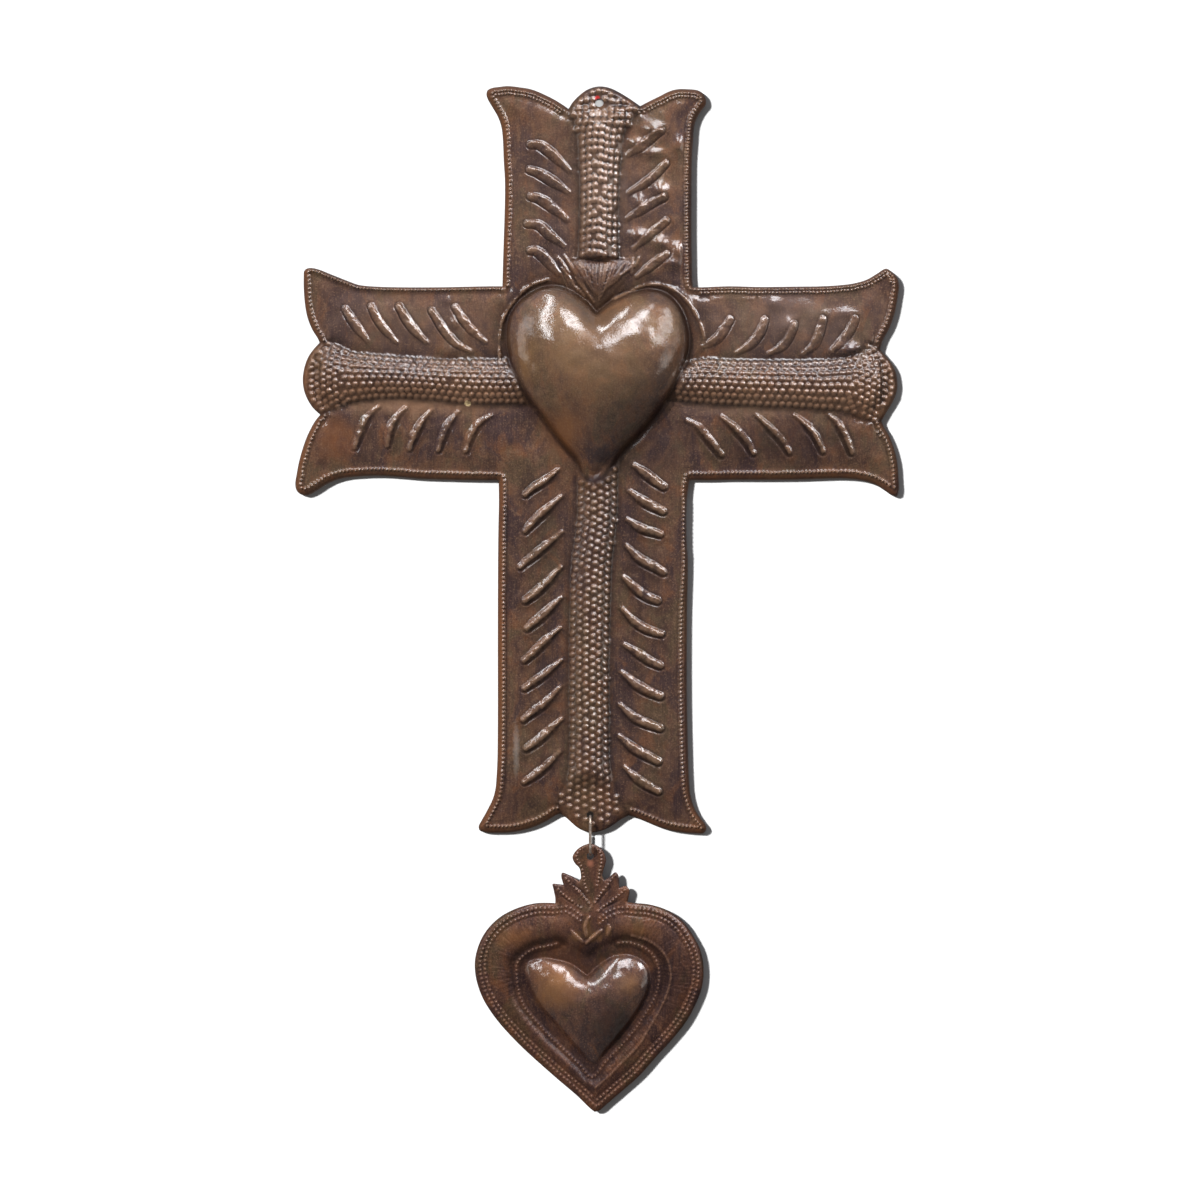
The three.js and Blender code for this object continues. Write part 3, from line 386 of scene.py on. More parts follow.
class Puff:
    """A patch of sheet puffed out by pressure from behind: 0 on its outline, 1 at its top."""

    def __init__(self, poly, cell=1.0, power=0.6, rounds=260):
        poly = np.asarray(poly, float)
        self.cell = cell
        self.lo = poly.min(0) - 4 * cell
        hi = poly.max(0) + 4 * cell
        self.n = np.ceil((hi - self.lo) / cell).astype(int) + 1
        uu, vv = np.meshgrid(self.lo[0] + np.arange(self.n[0]) * cell, self.lo[1] + np.arange(self.n[1]) * cell)
        pts = np.stack([uu.ravel(), vv.ravel()], 1)
        inn = inside(poly, pts).reshape(uu.shape)
        u = np.zeros(uu.shape)
        jj, ii = np.indices(uu.shape)
        red = inn & ((ii + jj) % 2 == 0)
        black = inn & ((ii + jj) % 2 == 1)
        for _ in range(rounds):
            for m in (red, black):
                nb = np.zeros_like(u)
                nb[1:-1, 1:-1] = (u[1:-1, :-2] + u[1:-1, 2:] + u[:-2, 1:-1] + u[2:, 1:-1] + cell * cell) / 4
                u[m] += 1.93 * (nb[m] - u[m])
        u = np.clip(u, 0, None)
        self.inn, self.pts = inn, pts
        self.f = (u / u.max()) ** power
        self.f = blur(self.f, 1).astype(float)

    def keel(self, poly, share, soft, low):
        """Mix in a roof-like form whose ridge runs along the middle of the outline."""
        d = np.where(self.inn.ravel(), line_dist(poly, self.pts, closed=True), 0).reshape(self.inn.shape)
        roof = blur((d / d.max()) ** 0.85, soft).astype(float)
        roof[~self.inn] = 0
        share = share * smooth01((self.pts[:, 1] - low) / 70).reshape(self.inn.shape)
        self.f = (1 - share) * self.f + share * roof * self.f.max()

    def __call__(self, pts):
        x = (pts[:, 0] - self.lo[0]) / self.cell
        y = (pts[:, 1] - self.lo[1]) / self.cell
        ok = (x > 0) & (y > 0) & (x < self.n[0] - 2) & (y < self.n[1] - 2)
        x, y = np.where(ok, x, 0), np.where(ok, y, 0)
        i, j = x.astype(int), y.astype(int)
        s, t = x - i, y - j
        f = self.f
        h = (1 - t) * ((1 - s) * f[j, i] + s * f[j, i + 1]) + t * ((1 - s) * f[j + 1, i] + s * f[j + 1, i + 1])
        return np.where(ok, h, 0)


# ------------------------------------------------------------ sheet-metal mesh
class Cloud:
    """Points of a triangulation: a later point is dropped where an earlier one is too near."""

    def __init__(self, loops):
        self.pts = []
        self.grid = {}
        self.cell = 2.0
        for loop in loops:
            for p in loop:
                self._put(p[0], p[1])

    def _put(self, u, v):
        self.grid.setdefault((int(u // self.cell), int(v // self.cell)), []).append((u, v))
        self.pts.append((u, v))

    def add(self, pts, gap):
        g2 = gap * gap
        r = int(math.ceil(gap / self.cell))
        for u, v in np.asarray(pts, float).tolist():
            a, b = int(u // self.cell), int(v // self.cell)
            free = True
            for i in range(a - r, a + r + 1):
                for j in range(b - r, b + r + 1):
                    for x, y in self.grid.get((i, j), ()):
                        if (x - u) ** 2 + (y - v) ** 2 < g2:
                            free = False
                            break
                    if not free:
                        break
                if not free:
                    break
            if free:
                self._put(u, v)


def triangulate(cloud, loops):
    pts = np.array(cloud.pts)
    edges, at = [], 0
    for loop in loops:
        n = len(loop)
        edges += [(at + i, at + (i + 1) % n) for i in range(n)]
        at += n
    v, _, f, ov, _, _ = delaunay_2d_cdt([Vector(p) for p in pts.tolist()], edges, [], 0, 1e-5)
    v = np.array([(p.x, p.y) for p in v])
    first = np.full(at, -1)
    for i, o in enumerate(ov):
        for k in o:
            if k < at:
                first[k] = i
    f = np.array([t for t in f if len(t) == 3])
    mid = v[f].mean(1)
    keep = inside(loops[0], mid)
    for hole in loops[1:]:
        keep &= ~inside(hole, mid)
    f = f[keep]
    e1, e2 = v[f[:, 1]] - v[f[:, 0]], v[f[:, 2]] - v[f[:, 0]]
    cw = (e1[:, 0] * -e2[:, 1] + e1[:, 1] * e2[:, 0]) < 0
    f[cw] = f[cw][:, [0, 2, 1]]
    return v, f, first


def sheet_mesh(name, loops, front, back, heights_front, heights_back, attributes, uv_box):
    """One closed skin: front, back, and the cut edge round the outline and the holes."""
    vf, ff, kf = triangulate(front, loops)
    vb, fb, kb = triangulate(back, loops)
    hf = heights_front(vf)
    hb = heights_back(vb)
    on_edge_f = np.concatenate([kf])
    hb[kb] = hf[kf] - SHEET
    nf = len(vf)
    co = np.empty((nf + len(vb), 3))
    for sl, v, h in ((slice(0, nf), vf, hf), (slice(nf, None), vb, hb)):
        co[sl, 0] = (v[:, 0] - U0) * UNIT
        co[sl, 1] = -h * 1e-3
        co[sl, 2] = (V0 - v[:, 1]) * UNIT
    tris = [ff, fb[:, [0, 2, 1]] + nf]
    sharp = []
    at = 0
    for k, loop in enumerate(loops):
        n = len(loop)
        a = np.arange(at, at + n)
        b = at + (np.arange(n) + 1) % n
        if (area_up(loop) > 0) != (k == 0):
            a, b = b, a
        fa, fbq, ba, bb = kf[a], kf[b], kb[a] + nf, kb[b] + nf
        tris.append(np.stack([fbq, fa, ba], 1))
        tris.append(np.stack([fbq, ba, bb], 1))
        sharp += [np.stack([fa, fbq], 1), np.stack([ba, bb], 1)]
        at += n
    tris = np.vstack(tris).astype(np.int32)
    me = bpy.data.meshes.new(name)
    me.vertices.add(len(co))
    me.vertices.foreach_set("co", co.astype(np.float32).ravel())
    me.loops.add(len(tris) * 3)
    me.loops.foreach_set("vertex_index", tris.ravel())
    me.polygons.add(len(tris))
    me.polygons.foreach_set("loop_start", np.arange(0, len(tris) * 3, 3, dtype=np.int32))
    me.polygons.foreach_set("use_smooth", np.ones(len(tris), bool))
    me.update(calc_edges=True)
    me.validate()
    keys = set()
    for s in np.vstack(sharp).tolist():
        keys.add((min(s), max(s)))
    ev = np.empty(len(me.edges) * 2, np.int32)
    me.edges.foreach_get("vertices", ev)
    ev = np.sort(ev.reshape(-1, 2), axis=1)
    flags = np.fromiter(((a, b) in keys for a, b in ev.tolist()), bool, len(ev))
    att = me.attributes.new("sharp_edge", "BOOLEAN", "EDGE")
    att.data.foreach_set("value", flags)
    for key, (values_f, values_b) in attributes(vf, vb).items():
        a = me.attributes.new(key, "FLOAT", "POINT")
        a.data.foreach_set("value", np.concatenate([values_f, values_b]).astype(np.float32))
    # flat maps of front and back side by side
    lo, hi = uv_box
    k = min(0.49 / (hi[0] - lo[0]), 0.98 / (hi[1] - lo[1]))
    allv = np.vstack([vf, vb])
    uv = np.stack([0.005 + (allv[:, 0] - lo[0]) * k, 0.01 + (hi[1] - allv[:, 1]) * k], 1)
    uv[nf:, 0] += 0.5
    li = np.empty(len(me.loops), np.int32)
    me.loops.foreach_get("vertex_index", li)
    layer = me.uv_layers.new(name="OFBake")
    layer.data.foreach_set("uv", uv[li].astype(np.float32).ravel())
    ob = bpy.data.objects.new(name, me)
    bpy.context.scene.collection.objects.link(ob)
    print(name, "front", len(ff), "back", len(fb), "all", len(tris))
    return ob


def lattice(lo, hi, step):
    rows = np.arange(lo[1], hi[1], step * 0.866)
    out = []
    for k, v in enumerate(rows):
        u = np.arange(lo[0] + (k % 2) * step * 0.5, hi[0], step)
        out.append(np.stack([u, np.full(len(u), v)], 1))
    p = np.vstack(out)
    return p + np.stack([wave(p, 1.7, 5), wave(p, 1.9, 6)], 1) * step * 0.08


def offsets(line, dists, step, closed):
    """Points beside a line at the given distances, both sides by sign."""
    line = resample(np.asarray(line, float), step)
    if closed:
        line = line[:-1]
        t = np.roll(line, -1, axis=0) - np.roll(line, 1, axis=0)
    else:
        t = np.gradient(line, axis=0)
    t /= np.maximum(np.linalg.norm(t, axis=1, keepdims=True), 1e-9)
    n = np.stack([-t[:, 1], t[:, 0]], 1)
    return [(line + n * d) for d in dists]


def circle(u, v, r, n):
    a = np.arange(n) * 2 * np.pi / n
    return np.stack([u + r * np.cos(a), v + r * np.sin(a)], 1)


def place_along(line, pitch, start=0.0):
    """Points at one pitch along a line, with the direction there."""
    seg = np.linalg.norm(np.diff(line, axis=0), axis=1)
    s = np.concatenate([[0], np.cumsum(seg)])
    q = np.arange(start, s[-1], pitch)
    p = np.stack([np.interp(q, s, line[:, k]) for k in (0, 1)], 1)
    e = np.stack([np.interp(q + 0.4, s, line[:, k]) for k in (0, 1)], 1) - np.stack([np.interp(q - 0.4, s, line[:, k]) for k in (0, 1)], 1)
    return p, np.arctan2(e[:, 1], e[:, 0])


# ====================================================================== cross
cross_loop, cross_run = loop_of(CROSS_RUNS, 2.2)
nail_loop = circle(600, 103.5, NAIL_HOLE_R, 26)
hook_loop = circle(LINK_U, CROSS_HOLE_V, LINK_HOLE_R, 22)
cross_fine, cross_fine_run = loop_of(CROSS_RUNS, 0.5)
cross_normal = outward(cross_loop)
heart_line = dense(HEART, 10)
band_polys = {
    "top": np.vstack([dense(BAND_TOP_A, 6), dense(BAND_TOP_B, 6)[::-1]]),
    "low": np.vstack([dense(BAND_LOW_A, 6), dense(BAND_LOW_B, 6)[::-1]]),
    "left": np.vstack([dense(BAND_LEFT_A, 6), dense(BAND_LEFT_B, 6)[::-1]]),
    "right": np.vstack([dense(BAND_RIGHT_A, 6), dense(BAND_RIGHT_B, 6)[::-1]]),
}
band_sides = {
    "top": (dense(BAND_TOP_A, 6), dense(BAND_TOP_B, 6)),
    "low": (dense(BAND_LOW_A, 6), dense(BAND_LOW_B, 6)),
    "left": (dense(BAND_LEFT_A, 6), dense(BAND_LEFT_B, 6)),
    "right": (dense(BAND_RIGHT_A, 6), dense(BAND_RIGHT_B, 6)),
}
heart_puff = Puff(heart_line, 1.0, 0.58)
heart_puff.keel(heart_line, 0.48, 2, 378)
flame_puff = Puff(np.array(FLAME, float), 0.7, 0.75)

RIM_DROP, RIM_CREST, LOBE_DROP = 3.0, 0.35, 1.2
SPINE_RISE, HEART_RISE, FLAME_RISE, PANEL_RISE = 3.9, 16.0, 1.7, 0.75


def rim_width(n, p):
    """Distance from the edge to the beaded crest, for an outward normal at a place."""
    w = 4.1 + 1.15 * n[:, 1] + 0.2 * n[:, 0]
    w = w + 2.0 * smooth01((130 - p[:, 1]) / 14) * smooth01((-n[:, 1] - 0.2) / 0.3)
    w = w + 1.5 * smooth01((n[:, 1] - 0.5) / 0.3)
    side = smooth01((np.abs(n[:, 0]) - 0.7) / 0.2)
    right = n[:, 0] > 0
    shaft = smooth01((p[:, 1] - 492) / 10) * smooth01((800 - p[:, 1]) / 20)
    top = smooth01((p[:, 1] - 122) / 15) * smooth01((286 - p[:, 1]) / 8)
    w = w + side * (5.5 - w)
    w = w + side * shaft * (np.where(right, 3.0 + 3.5 * smooth01((p[:, 1] - 520) / 110), 5.3) - w)
    return w + side * top * (5.0 - w)


rim_at = rim_width(cross_normal, cross_loop)
rim_at = np.convolve(np.r_[rim_at[-4:], rim_at, rim_at[:4]], np.ones(9) / 9, "valid")


# shallow dents and swellings of the ground: u, v, spread along u and v, height
SWELLS = [
    (654, 130, 8, 5, 1.0), (637, 144, 6, 4, 0.7), (652, 154, 10, 3.5, 0.8), (680, 146, 5, 8, 0.9), (661, 191, 6, 6, 1.2),
    (640, 203, 4, 6, 0.8), (639, 236, 8, 5, 1.1), (660, 244, 7, 5, 1.1), (681, 252, 6, 6, 1.3), (673, 264, 8, 4, 0.9),
    (774, 304, 9, 6, 0.8), (800, 308, 14, 6, 0.35), (842, 315, 14, 5, 0.8), (851, 352, 11, 6, 2.4), (788, 328, 6, 9, 1.2),
    (813, 322, 4, 7, 0.5), (841, 327, 4, 5, 0.6), (452, 352, 6, 7, 1.4), (446, 299, 7, 5, 0.6), (456, 322, 3, 4, 0.8),
    (508, 760, 5, 26, 0.4), (540, 470, 12, 8, -0.4), (527, 556, 9, 8, -0.5), (523, 600, 8, 6, 0.5), (655, 640, 9, 7, 0.3),
    (400, 436, 16, 8, 0.3), (352, 455, 14, 6, 0.3), (640, 436, 10, 9, 0.5), (700, 300, 12, 8, 0.3),
]


def cross_base(pts):
    """Height of the sheet without its small marks."""
    d, k = line_dist(cross_loop, pts, closed=True, want_index=True)
    w = rim_at[k]
    link = smooth01((np.hypot(pts[:, 0] - LINK_U, pts[:, 1] - CROSS_HOLE_V) - 18) / 27)
    nail = smooth01((np.hypot(pts[:, 0] - 600, pts[:, 1] - 103.5) - 6) / 16)
    drop = LOBE_DROP + (RIM_DROP - LOBE_DROP) * link
    s = np.clip(d / w, 0, 1)
    crest = RIM_CREST * (1 - 0.8 * smooth01((cross_normal[k, 1] - 0.3) / 0.4))
    rim = -drop + (drop + crest) * np.sqrt(np.clip(1 - (1 - s) ** 2, 0, 1)) ** 0.92
    over = crest * (1 - smooth01((d - w) / 5.5))
    h = np.where(d < w, rim, over)
    # pebbled ridges
    near = np.full(len(pts), 1e3)
    for key, poly in band_polys.items():
        a, b = band_sides[key]
        da, db = line_dist(a, pts), line_dist(b, pts)
        near = np.minimum(near, np.minimum(da, db))
        inn = inside(poly, pts)
        t = (da - db) / np.maximum(da + db, 1e-6)
        ridge = SPINE_RISE * np.clip(1 - t * t, 0, 1) ** 1.1
        ends = smooth01((d - 2.0) / 20)
        h = h + np.where(inn, ridge * ends * np.minimum(link, nail), 0)
        near = np.where(inn, 0, near)
    # panels between ridge and rim stand a little proud
    dh = line_dist(heart_line, pts, closed=True)
    in_heart = inside(heart_line, pts)
    q = np.minimum(near, dh)
    r = np.clip(d - w - 4, 0, None)
    f = 4 * q * r / np.maximum((q + r) ** 2, 1e-6)
    h = h + np.where((near > 0) & ~in_heart, PANEL_RISE * f ** 1.2, 0)
    # soft hammer waves and swellings of the ground
    ground = smooth01((d - w - 2) / 8) * ~in_heart * smooth01(dh / 6)
    free = ground * (near > 0)
    h = h + ground * (0.16 * wave(pts, 26, 11) + 0.10 * wave(pts, 13, 12)) + free * 0.06 * wave(pts, 7, 13)
    for u, v, su, sv, rise in SWELLS:
        h = h + free * (1.35 if u < 690 and v < 270 and u > 630 else 0.75) * rise * np.exp(-(((pts[:, 0] - u) / (1.2 * su)) ** 2 + ((pts[:, 1] - v) / (1.2 * sv)) ** 2))
    flat = (1 - np.minimum(link, nail)) * smooth01((d - 2) / 6)
    h = h + (0.5 - h) * flat
    # flame and heart
    fl = flame_puff(pts)
    h = np.maximum(h, np.where(fl > 0, 0.5 + FLAME_RISE * fl, -9))
    sink = np.exp(-(dh / 2.6) ** 2) * 0.25
    h = h - sink * smooth01((d - w) / 6)
    valley = 1.5 * np.exp(-((pts[:, 0] - 596) / 10) ** 2) * smooth01((352 - pts[:, 1]) / 38) * smooth01(dh / 10)
    dome = HEART_RISE * heart_puff(pts) * smooth01(dh / 5.5 + 0.04) - valley + (0.085 * wave(pts, 9, 23) + 0.022 * wave(pts, 4.6, 24)) * smooth01(dh / 8) + (0.30 * wave(pts, 30, 21) + 0.07 * wave(pts, 12, 22)) * smooth01(dh / 12)
    return np.where(in_heart, h * (1 - smooth01(dh / 7)) + dome, h)


relief = Relief(288, 78, 908, 842)

# beads along the rim
fine_n = outward(cross_fine)
wide = np.ones(13) / 13
for k in (0, 1):
    fine_n[:, k] = np.convolve(np.r_[fine_n[-6:, k], fine_n[:, k], fine_n[:6, k]], wide, "valid")
fine_n /= np.linalg.norm(fine_n, axis=1, keepdims=True)
fine_w = rim_width(fine_n, cross_fine)
row = cross_fine - fine_n * fine_w[:, None]
row_d = line_dist(cross_loop, row, closed=True)
row_ok = (row_d > 0.93 * fine_w) & inside(cross_loop, row) & ~np.isin(cross_fine_run, LOBE_RUNS)
for poly in band_polys.values():
    row_ok &= ~inside(poly, row)
bead_lines, now = [], []
for p, ok in zip(row, row_ok):
    if ok and (not now or np.hypot(*(p - now[-1])) < 3):
        now.append(p)
    else:
        if len(now) > 4:
            bead_lines.append(np.array(now))
        now = [p] if ok else []
if len(now) > 4:
    bead_lines.append(np.array(now))

beads = []          # u, v, along, across, angle
seen = {}


def add_bead(u, v, along, across, a, gap):
    c = (int(u // 4), int(v // 4))
    for i in (-1, 0, 1):
        for j in (-1, 0, 1):
            for q in seen.get((c[0] + i, c[1] + j), ()):
                if (q[0] - u) ** 2 + (q[1] - v) ** 2 < gap * gap:
                    return
    seen.setdefault(c, []).append((u, v))
    beads.append((u, v, along, across, a))


groove_lines = []
gaps = []
for line in bead_lines:
    seg = np.linalg.norm(np.diff(line, axis=0), axis=1)
    run = np.concatenate([[0], np.cumsum(seg)])
    _, k = line_dist(cross_loop, line, closed=True, want_index=True)
    facing = cross_normal[k]
    at = 1.2
    while at < run[-1]:
        u, v = np.interp(at, run, line[:, 0]), np.interp(at, run, line[:, 1])
        nu, nv = np.interp(at, run, facing[:, 0]), np.interp(at, run, facing[:, 1])
        a = math.atan2(nu, -nv)
        if v < 285 and nu > 0.8:
            pitch, along, across = 3.4, 1.4, 2.5
        elif nv < -0.55:
            pitch, along, across = 3.4, 1.5, 1.7
        elif nv > 0.5:
            pitch, along, across = 3.9, 1.45, 1.6
        else:
            pitch, along, across = 4.2, 1.75, 1.75
        j = rng.normal(0, 0.15, 2)
        add_bead(u + j[0], v + j[1], along, across, a, 0.72 * pitch)
        # a second row beside the first on the top edges of the right arm and the upper flares
        if nv < -0.45 and (u > 700 or v < 112):
            add_bead(u - nu * 3.5 + j[1], v - nv * 3.5 + j[0], 1.35, 1.45, a, 2.3)
        if nv > 0.4:
            gaps.append((np.interp(at + pitch / 2, run, line[:, 0]), np.interp(at + pitch / 2, run, line[:, 1])))
        at += pitch
    low = np.abs(facing[:, 1]) < 0.4
    inner = line - facing * 3.3
    now = []
    for p, good in zip(inner, low):
        if good:
            now.append(p)
        elif len(now) > 8:
            groove_lines.append(np.array(now))
            now = []
        else:
            now = []
    if len(now) > 8:
        groove_lines.append(np.array(now))
for u, v, along, across, a in beads:
    relief.bump(u, v, along, across, 0.78, a, 0.75)
for u, v in gaps:
    relief.bump(u, v, 0.9, 1.3, -0.16, 0, 0.8)
for line in groove_lines:
    relief.long_ridge(resample(line, 1.5), 1.2, -0.12, 0.8)

# pebbles on the ridges
pebbles = []        # u, v, radius along u, radius along v, band


def border(points, axis):
    p = dense(points, 8)
    p = p[np.argsort(p[:, axis])]
    return lambda q: np.interp(q, p[:, axis], p[:, 1 - axis])


ROWS = (0.065, 0.175, 0.285, 0.40, 0.52, 0.65, 0.785, 0.92)
for key, a, b, u_from, u_to in (("left", BAND_LEFT_A, BAND_LEFT_B, 346, 536), ("right", BAND_RIGHT_A, BAND_RIGHT_B, 655, 856)):
    fa, fb = border(a, 0), border(b, 0)
    for k, t in enumerate(ROWS):
        pitch = 6.7 if k < 3 else (7.0 if key == "left" else 7.3)
        u = u_from + (0.5 * pitch if k % 2 else 0.0)
        while u < u_to:
            v = fa(u) + (fb(u) - fa(u)) * t + rng.normal(0, 0.22)
            pebbles.append((u + rng.normal(0, 0.4), v, 3.2 if k < 3 else 2.8, 2.55 if k < 3 else 2.65, key))
            u += pitch * (1 + 0.05 * math.sin(u * 0.06 + k))
for key, u_from, u_to, v_mid in (("left", 306, 352, 379.0), ("right", 850, 897, 386.0)):
    for i, u in enumerate(np.arange(u_from, u_to, 6.0)):
        for k in range(-7, 8):
            v = v_mid + (k + (0.5 if i % 2 else 0)) * 6.4
            pebbles.append((u + rng.normal(0, 0.5) + 0.004 * (v - v_mid) ** 2 * (1 if key == "left" else -1), v + rng.normal(0, 0.4), 2.65, 2.6, key))
ta_, tb_ = border(BAND_TOP_A, 1), border(BAND_TOP_B, 1)
for i in range(-7, 8):
    for v in np.arange(87, 260, 7.3):
        mid, span = 0.5 * (ta_(v) + tb_(v)) + 0.8, tb_(v) - ta_(v)
        u = mid + i * 5.7 * min(1.10, max(0.97, span / 43)) + rng.normal(0, 0.3)
        arch = np.interp(u - mid, (-20, -14, -9, -2, 5, 11, 18), (0, -0.9, -2.6, -2.6, 0, 1.2, 1.2))
        pebbles.append((u, v + arch + rng.normal(0, 0.5), 2.95, 3.65, "top"))
ba_, bb_ = border(BAND_LOW_A, 1), border(BAND_LOW_B, 1)
for i in range(-7, 7):
    for v in np.arange(450 + (3.6 if i % 2 else 0), 832, 7.2):
        mid = 0.5 * (ba_(min(v, 790)) + bb_(min(v, 790)))
        half_w = 0.5 * (bb_(min(v, 796)) - ba_(min(v, 796)))
        u = mid + (i + 0.5) * 6.9 * min(1.12, max(1.0, half_w / 22)) + rng.normal(0, 0.45)
        pebbles.append((u, v + rng.normal(0, 0.55) - 0.05 * (u - mid), 2.75, 2.65, "low"))
peb = np.array([(p[0], p[1]) for p in pebbles])
peb_d = line_dist(cross_loop, peb, closed=True)
peb_in = inside(cross_loop, peb)
lobe_zone = np.zeros(len(peb), bool)
lobe_zone |= (peb[:, 0] < 322) & (np.abs(peb[:, 1] - 379) < 34)
lobe_zone |= (peb[:, 0] > 879) & (np.abs(peb[:, 1] - 385.5) < 34)
lobe_zone |= (peb[:, 1] < 110) & (np.abs(peb[:, 0] - 604) < 34)
lobe_zone |= (peb[:, 1] > 812) & (np.abs(peb[:, 0] - 594) < 32)
in_band = np.zeros(len(peb), bool)
for key, poly in band_polys.items():
    e = line_dist(poly, peb, closed=True)
    mine = np.array([p[4] == key for p in pebbles])
    in_band |= inside(poly, peb) & mine & ((e > 1.7) | lobe_zone)
ok = peb_in & (peb_d > 4.4) & (in_band | lobe_zone)
ok &= ~inside(heart_line, peb) & (line_dist(heart_line, peb, closed=True) > 3.5)
ok &= np.hypot(peb[:, 0] - 600, peb[:, 1] - 103.5) > NAIL_HOLE_R + 2.4
ok &= np.hypot(peb[:, 0] - LINK_U, peb[:, 1] - CROSS_HOLE_V) > LINK_HOLE_R + 2.4
kept = []
taken = {}
for good, (u, v, ru, rv, key) in zip(ok, pebbles):
    if not good:
        continue
    c = (int(u // 5), int(v // 5))
    near = [q for a in (-1, 0, 1) for b in (-1, 0, 1) for q in taken.get((c[0] + a, c[1] + b), ())]
    if any(((q[0] - u) / 5.2) ** 2 + ((q[1] - v) / (5.2 if key == "top" else 4.4)) ** 2 < 1 for q in near):
        continue
    taken.setdefault(c, []).append((u, v))
    kept.append((u, v, ru, rv))
pebbles = kept
for u, v, ru, rv in pebbles:
    relief.bump(u, v, ru * rng.uniform(0.95, 1.06), rv * rng.uniform(0.95, 1.06), rng.uniform(0.70, 0.90), rng.normal(0, 0.12), 0.7)

# frond strokes: chased leaves, pointed at the ridge and round at the outer end
STROKE_GROUPS = (      # how many, drawn from the outer end, shift of the crest, flanks, bluntness, height, painted shade and patina below, flat share of the crest
    (5, True, 0.6, 3.0, 7.6, 0.80, 0.66, 0.1, 0), (5, False, 0.0, 3.0, 6.8, 0.85, 0.64, 0.1, 0), (5, False, 0.0, 3.2, 6.4, 0.85, 0.62, 0.25, 0),
    (5, False, 0.3, 3.4, 6.4, 0.85, 0.56, 0.45, 0.12), (5, True, 0.0, 3.8, 5.6, 0.80, 0.82, 0.1, 0), (5, False, 0.4, 5.0, 6.0, 0.80, 0.58, 0.5, 0.12),
    (10, False, 0.8, 5.0, 5.8, 0.80, 0.78, 0.6, 0.16), (11, False, 0.6, 3.6, 7.0, 0.88, 0.74, 0.5, 0.46),
)
stroke_lines = []      # crest, direction of the lower side, flanks
at = 0
for count, reverse, shift, up, low, blunt, rise, stain_and_shade, flat in STROKE_GROUPS:
    for points in STROKES[at:at + count]:
        line = resample(dense(points), 3.0)
        line = line[::-1] if reverse else line
        t = np.gradient(line, axis=0)
        t /= np.linalg.norm(t, axis=1, keepdims=True)
        n = np.stack([-t[:, 1], t[:, 0]], 1)
        low_side = 1.0 if n[:, 1].mean() > 0 else -1.0
        line = line + low_side * n * shift
        run = np.concatenate([[0], np.cumsum(np.hypot(*(np.diff(line, axis=0).T)))])
        keep = np.linspace(0.8, run[-1] - 0.40 * blunt * (up + low), max(6, int(run[-1] / 3.5)))
        line = np.stack([np.interp(keep, run, line[:, k]) for k in (0, 1)], 1)
        size = rng.uniform(0.93, 1.07)
        stroke_lines.append((line, low_side, up * size, low * size, blunt))
        relief.leaf(line, low_side, up * size, low * size, blunt, rise * rng.uniform(0.88, 1.14), 0.15, stain_and_shade, flat)
    at += count

# chased lip outside the upper lobes of the heart
LIPS = ([(549, 280), (530, 287), (515, 302), (503, 322), (500, 345), (501, 362)],
        [(614, 300), (626, 294.5), (640, 288), (652, 285), (668, 287.5), (682, 295.5), (691, 306), (698, 318), (704, 334), (705, 346)])
for points in LIPS:
    line = resample(dense(points), 1.5)
    for i in range(0, len(line) - 6, 12):
        part = line[i:i + rng.integers(10, 14)]
        relief.ridge(part, 2.1, rng.uniform(0.55, 0.85), 0.9)
    relief.long_ridge(line, 1.8, 0.28, 0.9)

# flame hatching
for i in range(17):
    x = 571 + 68 * i / 16 + rng.normal(0, 0.8)
    foot = 600 + (x - 604) * rng.uniform(0.12, 0.3)
    top = 262.5 + rng.uniform(0, 3)
    low = 303 - abs(x - 603) * 0.55 + rng.normal(0, 2)
    mid = ((x + foot) / 2 + (x - 604) * 0.10, (top + low) / 2)
    relief.ridge(resample(dense([(foot, low), mid, (x, top)]), 1.5), rng.uniform(0.9, 1.5), rng.uniform(0.35, 0.6), 0.8)
for a, b in (((559, 258), (570, 274)), ((565, 256), (577, 276)), ((570, 281), (586, 298)), ((576, 278), (595, 303)), ((562, 268), (575, 284)), ((634, 259), (632, 275)), ((640, 258), (636, 268))):
    relief.ridge(resample(np.array([a, b], float), 1.5), 1.5, 0.6, 0.8)
for i in range(9):
    a = np.array([562 + 3.2 * i + rng.normal(0, 0.5), 263 + rng.uniform(0, 5) + (8 if i < 3 else 0)])
    b = a + np.array([13 + rng.normal(0, 1.5), 24 + rng.uniform(-3, 5)])
    relief.ridge(resample(np.array([a, b]), 1.5), rng.uniform(0.9, 1.3), rng.uniform(0.3, 0.5), 0.8)
# chased lines along the lower border of the right ridge and under the right arm's upper beads
relief.long_ridge(resample(dense(BAND_RIGHT_B[2:]), 1.5) + (0, 1.0), 0.9, 0.22, 0.8)
relief.long_ridge(resample(dense([(694, 298.6), (712, 298.8), (735, 299), (762, 298)]), 1.5), 1.0, 0.28, 0.8)
relief.long_ridge(resample(dense([(694, 296.6), (712, 296.8), (735, 297), (762, 296)]), 1.5), 1.0, -0.2, 0.8)
relief.long_ridge(resample(dense(BAND_TOP_A[2:]), 1.5) - (3.4, 0), 1.3, 0.26, 0.8)
for low_line in (BAND_LEFT_B, BAND_RIGHT_B):
    relief.long_ridge(resample(dense(low_line[1:-1]), 1.5) + (0, 1.8), 1.0, 0.20, 0.8)
relief.long_ridge(resample(dense(BAND_TOP_B[2:]), 1.5) + (2.2, 0), 1.1, 0.24, 0.8)
# dents and nicks
relief.ridge(resample(np.array([(452.5, 320.5), (458, 328)]), 1.5), 1.6, 0.6, 0.8)
relief.done()


def cross_front(pts):
    return cross_base(pts) + relief.sample(relief.h, pts)


